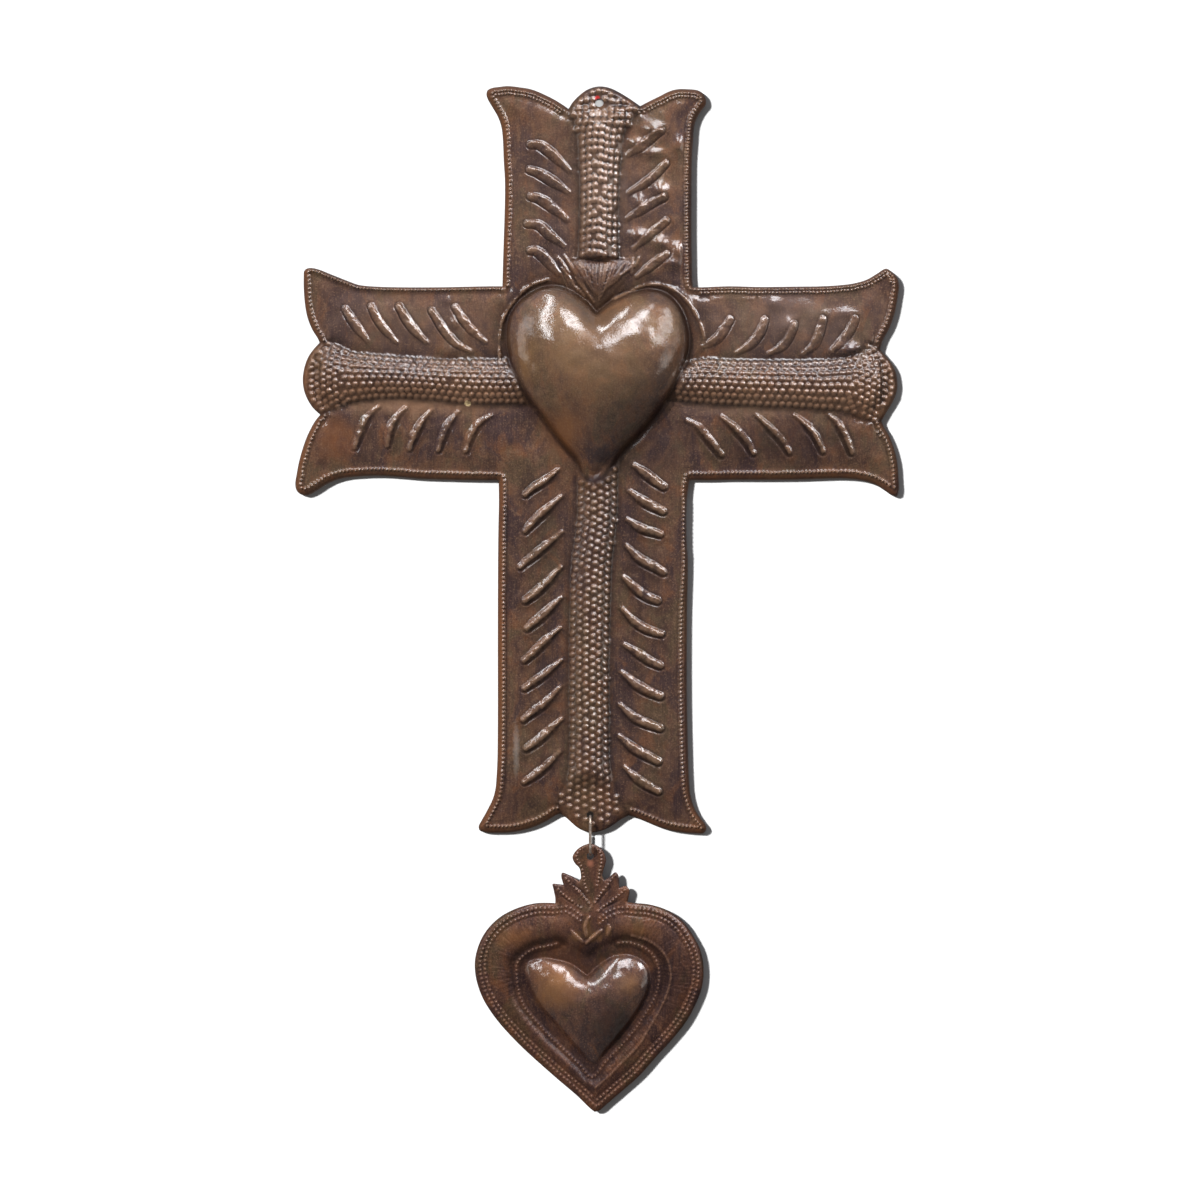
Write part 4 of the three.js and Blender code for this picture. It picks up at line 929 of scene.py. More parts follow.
def cross_back(pts):
    h = cross_base(pts)
    e = 0.8
    du = (cross_base(pts + (e, 0)) - cross_base(pts - (e, 0))) / (2 * e * 0.42)
    dv = (cross_base(pts + (0, e)) - cross_base(pts - (0, e))) / (2 * e * 0.42)
    return h + relief.sample(relief.soft, pts) - SHEET * np.minimum(1.7, np.sqrt(1 + du * du + dv * dv))


def cross_grime_and_shade(pts):
    """How much the colour is darkened to near-black: brown-black patina and painted shade in the angles of the big
    forms, round the heart's foot and in a groove inside the left shaft's beads, and painted shade on and beside the
    leaves.
    """
    from_heart = line_dist(heart_line, pts, closed=True)
    free = ~inside(heart_line, pts)
    grime_and_shade = np.maximum(0.85 * np.exp(-(from_heart / 3.6) ** 2), free * 0.5 * np.exp(-(from_heart / 15) ** 2))
    for a, b in band_sides.values():
        for side in (a, b):
            d = line_dist(side, pts)
            grime_and_shade = np.maximum(grime_and_shade, free * (0.35 * np.exp(-(d / 2.4) ** 2) + 0.3 * np.exp(-(d / 7) ** 2)))
    d, k = line_dist(cross_loop, pts, closed=True, want_index=True)
    shaft = smooth01((pts[:, 1] - 495) / 15) * smooth01((800 - pts[:, 1]) / 20) * (cross_normal[k, 0] < -0.8)
    grime_and_shade = np.maximum(grime_and_shade, shaft * 0.6 * np.exp(-((d - rim_at[k] - 3.4) / 1.6) ** 2))
    return np.maximum(grime_and_shade, relief.sample(relief.stain_and_shade, pts))


def lobe_ends(pts):
    """The rounded ends of the two side arms."""
    u, v = pts[:, 0], pts[:, 1]
    return np.maximum(smooth01((330 - u) / 14), smooth01((u - 872) / 14)) * smooth01((v - 338) / 10) * smooth01((426 - v) / 10)


def cross_tone_and_painted_fill(pts):
    """Redder, more rubbed metal on the pebbled ridges and the arm ends; on the side arms' lower rows, which face down,
    a paler tone is painted in as fill light.
    """
    tone_and_painted_fill = np.zeros(len(pts))
    for poly in band_polys.values():
        tone_and_painted_fill = np.maximum(tone_and_painted_fill, np.where(inside(poly, pts), smooth01(line_dist(poly, pts, closed=True) / 4), 0))
    # painted fill light: the lower rows that face down get a paler tone
    arms = smooth01((pts[:, 1] - 372) / 22) * smooth01((432 - pts[:, 1]) / 8)
    tone_and_painted_fill = tone_and_painted_fill * (0.22 + np.where(pts[:, 0] < 600, 0.54, 0.42) * arms + 0.16 * smooth01((300 - pts[:, 1]) / 20))
    return np.maximum(tone_and_painted_fill, 0.4 * lobe_ends(pts)) * ~inside(heart_line, pts)


def cross_gloss(pts):
    """Weight of the clear lacquer: full on the heart and the ground, rubbed dull on the ridges' lower rows."""
    gloss = np.full(len(pts), 0.85)
    v = pts[:, 1]
    for key, poly in band_polys.items():
        on = smooth01(line_dist(poly, pts, closed=True) / 4) * inside(poly, pts)
        dull = {"low": 0.75, "top": 0.85}.get(key, 0.75 - 0.15 * smooth01((v - 372) / 24))
        gloss = gloss + on * (dull - gloss)
    panel = smooth01((pts[:, 0] - 690) / 30) * smooth01((v - 412) / 10)
    gloss = gloss * (1 - 0.35 * panel)
    d, k = line_dist(cross_loop, pts, closed=True, want_index=True)
    gloss = gloss * (1 - 0.5 * smooth01((rim_at[k] + 4 - d) / 3) * (1 - smooth01(relief.sample(relief.h, pts) / 0.3)))
    worn = 1.2 * np.exp(-(((pts[:, 0] - 667) / 17) ** 2 + ((pts[:, 1] - 328) / 30) ** 2) ** 2)
    worn = np.maximum(worn, 1.4 * np.exp(-((((pts[:, 0] - 587) / 13) ** 2 + ((pts[:, 1] - 341) / 12) ** 2)) ** 2))
    cleft = line_dist(np.array([(597.7, 312.3), (609, 302.5), (621.8, 295.4), (636, 291)]), pts)
    worn = np.maximum(worn, 1.4 * (1 - smooth01((cleft - 12) / 9)) * (pts[:, 0] > 596))
    flame = flame_puff(pts) > 0
    gloss = np.where(flame, 0.35, gloss)
    gloss = gloss * (1 - 0.8 * np.clip(relief.sample(relief.stain_and_shade, pts) * 1.3, 0, 1))
    from_heart = line_dist(heart_line, pts, closed=True)
    low = smooth01((v - 385) / 25)
    foot = np.maximum(0.85 * np.exp(-(from_heart / 3) ** 2), 0.9 * low * np.exp(-(from_heart / 13) ** 2))
    foot = np.maximum(foot, 0.95 * np.exp(-(((pts[:, 0] - 594) / 18) ** 2 + ((pts[:, 1] - 480) / 13) ** 2)))
    gloss = gloss * (1 - 0.6 * smooth01((v - 765) / 30)) * (1 - 0.35 * lobe_ends(pts))
    return np.where(inside(heart_line, pts), 1.25 * (1.0 - 0.65 * np.clip(worn, 0, 1.4)), gloss) * (1 - foot)


def cross_edge(pts):
    """Rusty brown on the turned edge outside the beads; less of it on the right- and down-facing edges, painted darker
    there as shaded sides.
    """
    d, k = line_dist(cross_loop, pts, closed=True, want_index=True)
    n = cross_normal[k]
    most = 0.75 - 0.35 * smooth01(n[:, 0]) - 0.2 * smooth01(n[:, 1])
    return most * smooth01((rim_at[k] - d - 0.4) / 1.6) * ~np.isin(cross_run[k], LOBE_RUNS)


def cross_attributes(vf, vb):
    h, wide_h = relief.sample(relief.h, vf), relief.sample(relief.wide, vf)
    return {"relief": (h - wide_h, -(relief.sample(relief.soft, vb) - relief.sample(relief.wide, vb))),
            "grime_and_shade": (cross_grime_and_shade(vf), 0.5 * cross_grime_and_shade(vb)), "tone_and_painted_fill": (cross_tone_and_painted_fill(vf), 0 * vb[:, 0]),
            "gloss": (cross_gloss(vf), 0.4 + 0 * vb[:, 0]), "edge": (cross_edge(vf), 0 * vb[:, 0])}


loops = [cross_loop, nail_loop, hook_loop]


def grow(loop, normal, dist, share=0.93):
    p = loop - normal * dist[:, None]
    return p[(line_dist(loop, p, closed=True) > share * dist) & inside(loop, p)]


def in_cross(pts, edge=1.0):
    keep = inside(cross_loop, pts) & (line_dist(cross_loop, pts, closed=True) > edge)
    for hole in loops[1:]:
        c = hole.mean(0)
        keep &= np.hypot(pts[:, 0] - c[0], pts[:, 1] - c[1]) > np.hypot(*(hole[0] - c)) + 0.8
    return pts[keep]


def spots(list_of, rings):
    out = []
    for u, v, ru, rv, ang in list_of:
        c, s = math.cos(ang), math.sin(ang)
        out.append((u, v))
        for k, n, turn in rings:
            a = np.arange(n) * 2 * np.pi / n + turn
            x, y = ru * k * np.cos(a), rv * k * np.sin(a)
            out += list(zip((u + x * c - y * s).tolist(), (v + x * s + y * c).tolist()))
    return np.array(out)


front = Cloud(loops)
front.add(in_cross(spots(beads, ((0.55, 6, 0.2), (0.98, 8, 0.0))), 0.5), 0.5)
for s in (0.08, 0.25, 0.5, 0.75):
    front.add(grow(cross_loop, cross_normal, rim_at * s), 0.35 + s * 1.0)
for c, r in ((nail_loop, NAIL_HOLE_R), (hook_loop, LINK_HOLE_R)):
    m = c.mean(0)
    for g, n in ((0.9, 22), (2.2, 18)):
        front.add(circle(m[0], m[1], r + g, n), 0.8)
front.add(in_cross(np.array([(u, v) for u, v, _, _ in pebbles])), 0.75)
more = []


def leaf_rows(line, low_side, up, low, blunt, rows, step):
    """Points on a leaf: its crest, and rows at shares of its flanks, the same widening as its shape."""
    line = resample(line, step)
    t = np.gradient(line, axis=0)
    t /= np.linalg.norm(t, axis=1, keepdims=True)
    n = np.stack([-t[:, 1], t[:, 0]], 1) * low_side
    along = np.linspace(0, 1, len(line))
    w = leaf_share(along, blunt)
    out = [line]
    for share, more_by in rows:
        for sign, flank in ((1, low), (-1, up)):
            out.append(line + n * (sign * (flank * w * share + more_by))[:, None])
    end, tan, r = line[-1], t[-1], 0.5 * (up + low) * blunt
    for share, more_by in rows:
        for a in (-60, -30, 0, 30, 60):
            c, s = math.cos(math.radians(a)), math.sin(math.radians(a))
            reach = (r + (low - up) * 0.5 * blunt * s) * share + more_by
            out.append((end + (tan * c + n[-1] * s) * reach)[None])
    return out


for leaf in stroke_lines:
    more += leaf_rows(*leaf, ((0, 0.8), (0.38, 0), (0.66, 0), (0.9, 0), (1, 0.4), (1, 1.5), (1, 2.5)), 1.8)
front.add(in_cross(np.vstack(more), 3), 0.72)
more = []
for line in bead_lines:
    d, k = line_dist(cross_loop, line, closed=True, want_index=True)
    for off in (2.3, 3.6, 4.9, 6.2):
        more.append(resample(line - cross_normal[k] * off, 2.0))
front.add(in_cross(np.vstack(more), 2), 1.0)
more = [p for p in offsets(heart_line, (0, 1.5, -1.5, 3.2, -3.2, 5.2, -5.2, 7, -7), 2.2, True)]
for points in LIPS:
    more += offsets(dense(points), (0, 1.2, -1.2, 2.4, -2.4), 1.8, False)
front.add(in_cross(np.vstack(more), 3), 0.95)
fl = in_cross(lattice((290, 80), (905, 838), 1.5), 2.5)
on_band = np.zeros(len(fl), bool)
for poly in band_polys.values():
    on_band |= inside(poly, fl)
on_band |= (fl[:, 0] < 322) & (np.abs(fl[:, 1] - 379) < 34)
on_band |= (fl[:, 0] > 879) & (np.abs(fl[:, 1] - 385.5) < 34)
on_band |= (fl[:, 1] < 110) & (np.abs(fl[:, 0] - 604) < 34)
on_band |= (fl[:, 1] > 812) & (np.abs(fl[:, 0] - 594) < 32)
on_band &= ~inside(heart_line, fl)
front.add(fl[on_band], 1.0)
fl = lattice((556, 254), (646, 314), 1.25)
front.add(fl[(line_dist(np.array([(600, 262), (600, 300)]), fl) < 42) & ~inside(heart_line, fl)], 0.8)
fill = in_cross(lattice((290, 80), (905, 838), 3.0), 2.0)
in_h = inside(heart_line, fill)
front.add(fill[~in_h], 1.9)
front.add(in_cross(lattice((500, 280), (700, 490), 2.4), 2.0), 1.6)

back = Cloud(loops)
for s in (0.2, 0.6):
    back.add(grow(cross_loop, cross_normal, rim_at * s), 0.9)
for c, r in ((nail_loop, NAIL_HOLE_R), (hook_loop, LINK_HOLE_R)):
    m = c.mean(0)
    back.add(circle(m[0], m[1], r + 1.6, 14), 1.0)
back.add(in_cross(np.array([(u, v) for u, v, _, _ in pebbles])), 1.5)
back.add(in_cross(np.vstack([resample(line, 3.0) for line in bead_lines])), 1.4)
more = []
for leaf in stroke_lines:
    more += leaf_rows(*leaf, ((0.5, 0), (1, 0)), 3.2)
back.add(in_cross(np.vstack(more), 3), 1.5)
back.add(in_cross(np.vstack(offsets(heart_line, (0, 2.5, -2.5, 5.5, -5.5, 8.5), 3.2, True)), 3), 1.6)
detail = in_cross(lattice((290, 80), (905, 838), 2.9), 2.0)
near_band = np.zeros(len(detail), bool)
for poly in band_polys.values():
    near_band |= inside(poly, detail)
back.add(detail[near_band], 1.8)
back.add(in_cross(lattice((290, 80), (905, 838), 4.4), 2.5), 2.8)

cross = sheet_mesh("cross_metal", loops, front, back, cross_front, cross_back, cross_attributes, ((292, 82), (904, 838)))

# ==================================================================== pendant
pend_loop, pend_run = loop_of(PENDANT_RUNS, 1.6)
tab_loop = circle(LINK_U, PENDANT_HOLE_V, LINK_HOLE_R, 22)
pend_normal = outward(pend_loop)
small_line = dense(SMALL_HEART, 10)
ring_row = dense(RING_ROW, 12)
ring_poly = np.vstack([ring_row, np.array([(568, 947), (579, 953), (588, 962), (598, 953), (608, 947)], float)])
ring_line = dense(RING_LINE, 8)
small_puff = Puff(small_line, 0.7, 0.72)
small_puff.keel(small_line, 0.25, 4, 985)
PEND_DROP, PEND_ROLL, PEND_RISE = 2.0, 0.95, 7.4


def pendant_base(pts):
    d = line_dist(pend_loop, pts, closed=True)
    body = smooth01((pts[:, 1] - 893) / 26)
    drop = 0.6 + (PEND_DROP - 0.6) * body
    w = 4.0 + 1.5 * body
    s = np.clip(d / w, 0, 1)
    h = 0.5 - drop * (1 - np.sqrt(np.clip(1 - (1 - s) ** 2, 0, 1)))
    inn = inside(ring_poly, pts)
    r = line_dist(ring_poly, pts, closed=True)
    # the flange is a soft roll between the double row and the inner row
    q, o = np.clip(r - 2, 0, None), np.clip(d - 11.5, 0, None)
    f = 4 * q * o / np.maximum((q + o) ** 2, 1e-6)
    h = h + np.where(inn, 0, PEND_ROLL * f ** 1.1) * body
    h = h - 0.9 * body * np.where(inn, 1.0, 1 - smooth01(r / 9))
    h = h + 0.5 * np.exp(-(line_dist(ring_row, pts) / 3.4) ** 2) * body
    h = h + body * smooth01((d - 12) / 8) * (0.10 * wave(pts, 14, 31) + 0.05 * wave(pts, 6, 32))
    ds = line_dist(small_line, pts, closed=True)
    in_s = inside(small_line, pts)
    lumps = (0.24 * wave(pts, 15, 33) + 0.09 * wave(pts, 6, 34)) * smooth01(ds / 9)
    return h + np.where(in_s, PEND_RISE * small_puff(pts) ** 1.08 * smooth01(ds / 3.2 + 0.04) + lumps, 0)


prelief = Relief(470, 838, 712, 1120)
pbeads = []


def bead_row(line, pitch, r, height, start=1.0):
    p, ang = place_along(line, pitch, start)
    for (u, v), a in zip(p, ang):
        if any((u - b[0]) ** 2 + (v - b[1]) ** 2 < (0.62 * pitch) ** 2 for b in pbeads):
            continue
        pbeads.append((u + rng.normal(0, 0.12), v + rng.normal(0, 0.12), r, r * 1.05, a, height))


heart_edge = np.vstack([dense(PENDANT_RUNS[3], 16), dense(PENDANT_RUNS[4], 16)[1:]])
he_t = np.gradient(heart_edge, axis=0)
he_t /= np.linalg.norm(he_t, axis=1, keepdims=True)
he_n = np.stack([-he_t[:, 1], he_t[:, 0]], 1)      # inward for this direction of travel
for dist in (5.4, 10.0):
    p = heart_edge + he_n * dist
    keep = line_dist(pend_loop, p, closed=True) > 0.93 * dist
    head = [(599.5, 919.5 if dist < 8 else 925.0), (608, 912.5 if dist < 8 else 918), (618, 908.5 if dist < 8 else 914)]
    tail = [(567, 907.5 if dist < 8 else 912.5), (575, 911 if dist < 8 else 917.5), (582, 916.5 if dist < 8 else 922)]
    p = p[keep]
    p = p[(p[:, 1] > (908 if dist < 8 else 913)) | ((p[:, 0] > 628) | (p[:, 0] < 556))]
    bead_row(resample(np.vstack([head, p, tail]), 0.8), 4.35, 1.6, 0.38)
bead_row(resample(ring_row, 0.8), 4.0, 1.55, 0.38)
for line in (
    [(588, 893), (585.5, 885), (583.8, 877), (582, 868), (578, 861.5), (577.6, 854), (581, 849.8), (586, 847.4)],
    [(597.5, 887), (599.3, 879), (600.3, 871), (602, 861), (600.5, 852.5), (596.5, 848.5)],
    [(566, 879), (574, 887), (582, 895.5), (590, 904.5)], [(558, 889.5), (566, 897), (575, 904), (584, 909.5)],
    [(616, 875.5), (609.5, 884), (602, 894), (594, 905)], [(626, 890.5), (617, 898), (607, 905.5), (598, 912.5)],
):
    bead_row(resample(dense(line), 0.6), 3.7, 1.55, 0.46)
for u, v, ru, rv, a, h in pbeads:
    prelief.bump(u, v, ru, rv, h, a, 0.8)
# grooves beside the rows, the ridge outside the inner row, and the fine hatching of the flange
for dist in (7.7, 12.6):
    p = heart_edge + he_n * dist
    p = p[(line_dist(pend_loop, p, closed=True) > 0.95 * dist) & (p[:, 1] > 912)]
    prelief.long_ridge(resample(p, 2.0), 1.1, -0.2, 0.8)
prelief.long_ridge(resample(ring_line, 1.5), 1.7, 0.4, 0.8)
prelief.long_ridge(resample(ring_row, 1.5), 2.6, 0.12, 0.9)
hatch_p, hatch_a = place_along(heart_edge, 2.3, 2.0)
for (u, v), a in zip(hatch_p, hatch_a):
    n = np.array([-math.sin(a), math.cos(a)])
    p0 = np.array([u, v]) + n * rng.uniform(13.5, 15)
    q = np.array([588, 985.0])
    aim = (q - p0) / np.linalg.norm(q - p0)
    aim = 0.75 * n + 0.25 * aim + rng.normal(0, 0.05, 2)
    aim /= np.linalg.norm(aim)
    cand = p0[None] + aim[None] * np.arange(0, 44, 1.0)[:, None]
    free = (line_dist(ring_row, cand) > 4.0) & ~inside(ring_poly, cand) & (line_dist(pend_loop, cand, closed=True) > 12.5)
    stop = int(np.argmin(free)) if not free.all() else len(cand)
    if stop > 4:
        prelief.ridge(cand[:stop:2] if stop > 5 else cand[:stop], rng.uniform(0.55, 0.75), -rng.uniform(0.10, 0.24), 0.8, taper=False)
for line, half, height in (
    ([(590, 917.5), (587.5, 922), (586, 929), (587, 937)], 2.3, 0.75), ([(572, 931), (576, 936), (584, 943)], 2.2, 0.6),
    ([(602, 931), (595, 937), (587, 944)], 2.4, 0.8), ([(609.5, 926), (610, 930), (608.5, 936)], 2.6, 0.6),
    ([(594, 905), (590, 911), (588, 917)], 1.6, 0.25),
):
    prelief.ridge(resample(dense(line), 1.2), half, height, 0.8)
for line in ([(571, 884), (580, 889), (589, 900)], [(561, 895), (570, 902), (581, 907)], [(612, 888), (604, 896), (598, 904)], [(622, 900), (612, 905), (602, 910)]):
    prelief.ridge(resample(dense(line), 1.2), 1.3, -0.3, 0.8)
prelief.done()


def pendant_front(pts):
    return pendant_base(pts) + prelief.sample(prelief.h, pts)


def pendant_back(pts):
    e = 0.8
    du = (pendant_base(pts + (e, 0)) - pendant_base(pts - (e, 0))) / (2 * e * 0.42)
    dv = (pendant_base(pts + (0, e)) - pendant_base(pts - (0, e))) / (2 * e * 0.42)
    return pendant_base(pts) + prelief.sample(prelief.soft, pts) - SHEET * np.minimum(1.7, np.sqrt(1 + du * du + dv * dv))


def pendant_grime_and_shade(pts):
    # patina and painted shade: darker round the small heart, beside and outside the inner bead row (most on the upper
    # side), inside the row around the heart, and in the hollow under the sprig
    grime_and_shade = 0.35 * np.exp(-(line_dist(small_line, pts, closed=True) / 3.5) ** 2)
    d = line_dist(ring_row, pts)
    grime_and_shade = np.maximum(grime_and_shade, 0.7 * np.exp(-((d - 3.6) / 1.6) ** 2))
    out = ~inside(ring_poly, pts)
    upper = smooth01((1000 - pts[:, 1]) / 50)
    grime_and_shade = np.maximum(grime_and_shade, out * (0.30 + 0.40 * upper) * np.exp(-((d - 6) / 6) ** 2))
    grime_and_shade = np.maximum(grime_and_shade, 0.40 * ~out * ~inside(small_line, pts))
    return np.maximum(grime_and_shade, 0.72 * np.exp(-(((pts[:, 0] - 592) / 32) ** 2 + ((pts[:, 1] - 953) / 11) ** 2)) * ~inside(small_line, pts))


def pendant_attributes(vf, vb):
    h, w = prelief.sample(prelief.h, vf), prelief.sample(prelief.wide, vf)
    return {"relief": (h - w, -(prelief.sample(prelief.soft, vb) - prelief.sample(prelief.wide, vb))),
            "grime_and_shade": (pendant_grime_and_shade(vf), 0.5 * pendant_grime_and_shade(vb)),
            "gloss": (0.05 + 0.15 * smooth01((985 - vf[:, 1]) / 60) + 0.95 * smooth01(line_dist(small_line, vf, closed=True) / 4) * inside(small_line, vf), 0.3 + 0 * vb[:, 0])}


ploops = [pend_loop, tab_loop]


def in_pendant(pts, edge=0.9):
    keep = inside(pend_loop, pts) & (line_dist(pend_loop, pts, closed=True) > edge)
    keep &= np.hypot(pts[:, 0] - LINK_U, pts[:, 1] - PENDANT_HOLE_V) > LINK_HOLE_R + 0.7
    return pts[keep]


pf = Cloud(ploops)
for dist in (0.4, 1.2, 2.4, 3.8):
    pf.add(grow(pend_loop, pend_normal, np.full(len(pend_loop), dist)), 0.3 + 0.25 * dist)
pf.add(circle(LINK_U, PENDANT_HOLE_V, LINK_HOLE_R + 1.2, 20), 0.8)
pf.add(in_pendant(spots([b[:5] for b in pbeads], ((0.55, 6, 0.2), (0.98, 8, 0.0)))), 0.5)
for p in offsets(small_line, (0, 1.2, -1.2, 2.6, -2.6, 4.2, -4.2), 1.8, True):
    pf.add(in_pendant(p), 0.9)
fl = in_pendant(lattice((472, 842), (708, 1116), 1.3))
zone = (~inside(small_line, fl)) & (line_dist(pend_loop, fl, closed=True) > 3)
pf.add(fl[zone], 0.85)
pf.add(in_pendant(lattice((472, 842), (708, 1116), 2.2)), 1.4)
pb = Cloud(ploops)
for dist in (1.2, 3.4):
    pb.add(grow(pend_loop, pend_normal, np.full(len(pend_loop), dist)), 0.9)
pb.add(circle(LINK_U, PENDANT_HOLE_V, LINK_HOLE_R + 1.6, 14), 1.0)
pb.add(in_pendant(np.array([(b[0], b[1]) for b in pbeads])), 1.2)
pb.add(in_pendant(lattice((472, 842), (708, 1116), 2.8), 2.0), 1.7)
pendant = sheet_mesh("pendant_metal", ploops, pf, pb, pendant_front, pendant_back, pendant_attributes, ((472, 842), (708, 1116)))

# ================================================================== wire link
WIRE_R, LINK_R, PLAY = 0.6, 3.2, 0.25           # mm
link_x = (LINK_U - U0) * UNIT * 1e3
top_z = (V0 - CROSS_HOLE_V) * UNIT * 1e3 - 1.5 + WIRE_R + PLAY
low_z = (V0 - PENDANT_HOLE_V) * UNIT * 1e3 + 1.5 - WIRE_R - PLAY
up_c, low_c = top_z - LINK_R, low_z + LINK_R
join = 0.5 * (up_c + low_c)
path = [(LINK_R, z) for z in np.linspace(join + 0.2, up_c, 24, endpoint=False)]
path += [(LINK_R * math.cos(a), up_c + LINK_R * math.sin(a)) for a in np.linspace(0, math.pi, 44, endpoint=False)]
path += [(-LINK_R, z) for z in np.linspace(up_c, low_c, 44, endpoint=False)]
path += [(-LINK_R * math.cos(a), low_c - LINK_R * math.sin(a)) for a in np.linspace(0, math.pi, 44, endpoint=False)]
path += [(LINK_R, z) for z in np.linspace(low_c, join - 0.2, 24)]
path = np.array(path)
tang = np.gradient(path, axis=0)
tang /= np.linalg.norm(tang, axis=1, keepdims=True)
SIDES = 18
verts, faces = [], []
for i, ((y, z), (ty, tz)) in enumerate(zip(path, tang)):
    s = i / (len(path) - 1)
    end = min(s, 1 - s) * len(path)
    r = WIRE_R * (1 - 0.10 * math.exp(-end * 1.2)) * (1 + 0.012 * math.sin(i * 0.9) + 0.01 * math.sin(i * 2.3))
    for k in range(SIDES):
        a = 2 * math.pi * k / SIDES
        dx, dn = r * math.cos(a), r * math.sin(a)
        verts.append(((link_x + dx) * 1e-3, (y - tz * dn) * 1e-3, (z + ty * dn) * 1e-3))
for i in range(len(path) - 1):
    for k in range(SIDES):
        q = (k + 1) % SIDES
        faces.append((i * SIDES + k, i * SIDES + q, (i + 1) * SIDES + q, (i + 1) * SIDES + k))
for i, flip in ((0, False), (len(path) - 1, True)):
    y, z = path[i]
    ty, tz = tang[i]
    push = -0.12 if i == 0 else 0.12
    verts.append((link_x * 1e-3, (y + ty * push) * 1e-3, (z + tz * push) * 1e-3))
    c = len(verts) - 1
    for k in range(SIDES):
        q = (k + 1) % SIDES
        faces.append((c, i * SIDES + q, i * SIDES + k) if not flip else (c, i * SIDES + k, i * SIDES + q))
me = bpy.data.meshes.new("link_wire")
me.from_pydata(verts, [], faces)
me.validate()
me.polygons.foreach_set("use_smooth", np.ones(len(me.polygons), bool))
link = bpy.data.objects.new("link_wire", me)
bpy.context.scene.collection.objects.link(link)

# ================================================================== materials


class Nodes:
    def __init__(self, name):
        self.mat = bpy.data.materials.new(name)
        self.mat.use_nodes = True
        self.tree = self.mat.node_tree
        self.tree.nodes.clear()
        self.out = self.tree.nodes.new("ShaderNodeOutputMaterial")
        self.coord = self.tree.nodes.new("ShaderNodeTexCoord")

    def new(self, kind, **props):
        n = self.tree.nodes.new(kind)
        for k, v in props.items():
            setattr(n, k, v)
        return n

    def link(self, a, b):
        self.tree.links.new(a, b)

    def put(self, socket, value):
        if hasattr(value, "is_linked") or isinstance(value, bpy.types.NodeSocket):
            self.link(value, socket)
        else:
            socket.default_value = value

    def noise(self, scale, detail=3.0, rough=0.55, stretch=(1, 1, 1), distortion=0.0):
        m = self.new("ShaderNodeMapping")
        m.inputs["Scale"].default_value = stretch
        self.link(self.coord.outputs["Object"], m.inputs["Vector"])
        n = self.new("ShaderNodeTexNoise")
        n.inputs["Scale"].default_value = scale
        n.inputs["Detail"].default_value = detail
        n.inputs["Roughness"].default_value = rough
        n.inputs["Distortion"].default_value = distortion
        self.link(m.outputs["Vector"], n.inputs["Vector"])
        return n.outputs["Fac"]

    def ramp(self, value, stops):
        r = self.new("ShaderNodeValToRGB")
        el = r.color_ramp.elements
        while len(el) > 1:
            el.remove(el[-1])
        for i, (at, col) in enumerate(stops):
            e = el[0] if i == 0 else el.new(at)
            e.position = at
            e.color = (*col, 1) if len(col) == 3 else col
        self.link(value, r.inputs["Fac"])
        return r.outputs["Color"]

    def span(self, value, a, b, c=0.0, d=1.0):
        m = self.new("ShaderNodeMapRange")
        m.clamp = True
        self.put(m.inputs["Value"], value)
        for k, v in (("From Min", a), ("From Max", b), ("To Min", c), ("To Max", d)):
            m.inputs[k].default_value = v
        return m.outputs["Result"]

    def math(self, op, a, b=None):
        m = self.new("ShaderNodeMath", operation=op)
        self.put(m.inputs[0], a)
        if b is not None:
            self.put(m.inputs[1], b)
        return m.outputs[0]

    def mix(self, fac, a, b, mode="MIX"):
        m = self.new("ShaderNodeMix", data_type="RGBA", blend_type=mode)
        self.put(m.inputs[0], fac)
        for sock, val in ((m.inputs[6], a), (m.inputs[7], b)):
            if isinstance(val, tuple):
                sock.default_value = (*val, 1)
            else:
                self.link(val, sock)
        return m.outputs[2]

    def attribute(self, name):
        a = self.new("ShaderNodeAttribute", attribute_name=name)
        return a.outputs["Fac"]

    def near(self, u, v, ru, rv, soft=0.4):
        """1 at a place on the sheet, 0 beyond an oval round it (grid units), with a ragged edge."""
        d = self.new("ShaderNodeVectorMath", operation="DISTANCE")
        s = self.new("ShaderNodeVectorMath", operation="MULTIPLY")
        s.inputs[1].default_value = (1 / (ru * UNIT), 0, 1 / (rv * UNIT))
        self.link(self.coord.outputs["Object"], s.inputs[0])
        self.link(s.outputs[0], d.inputs[0])
        d.inputs[1].default_value = ((u - U0) / ru, 0, (V0 - v) / rv)
        wob = self.math("MULTIPLY", self.math("SUBTRACT", self.noise(3600 / max(min(ru, rv), 4), 3), 0.5), 0.9)
        return self.span(self.math("ADD", d.outputs["Value"], wob), 1 - soft, 1.0, 1.0, 0.0)


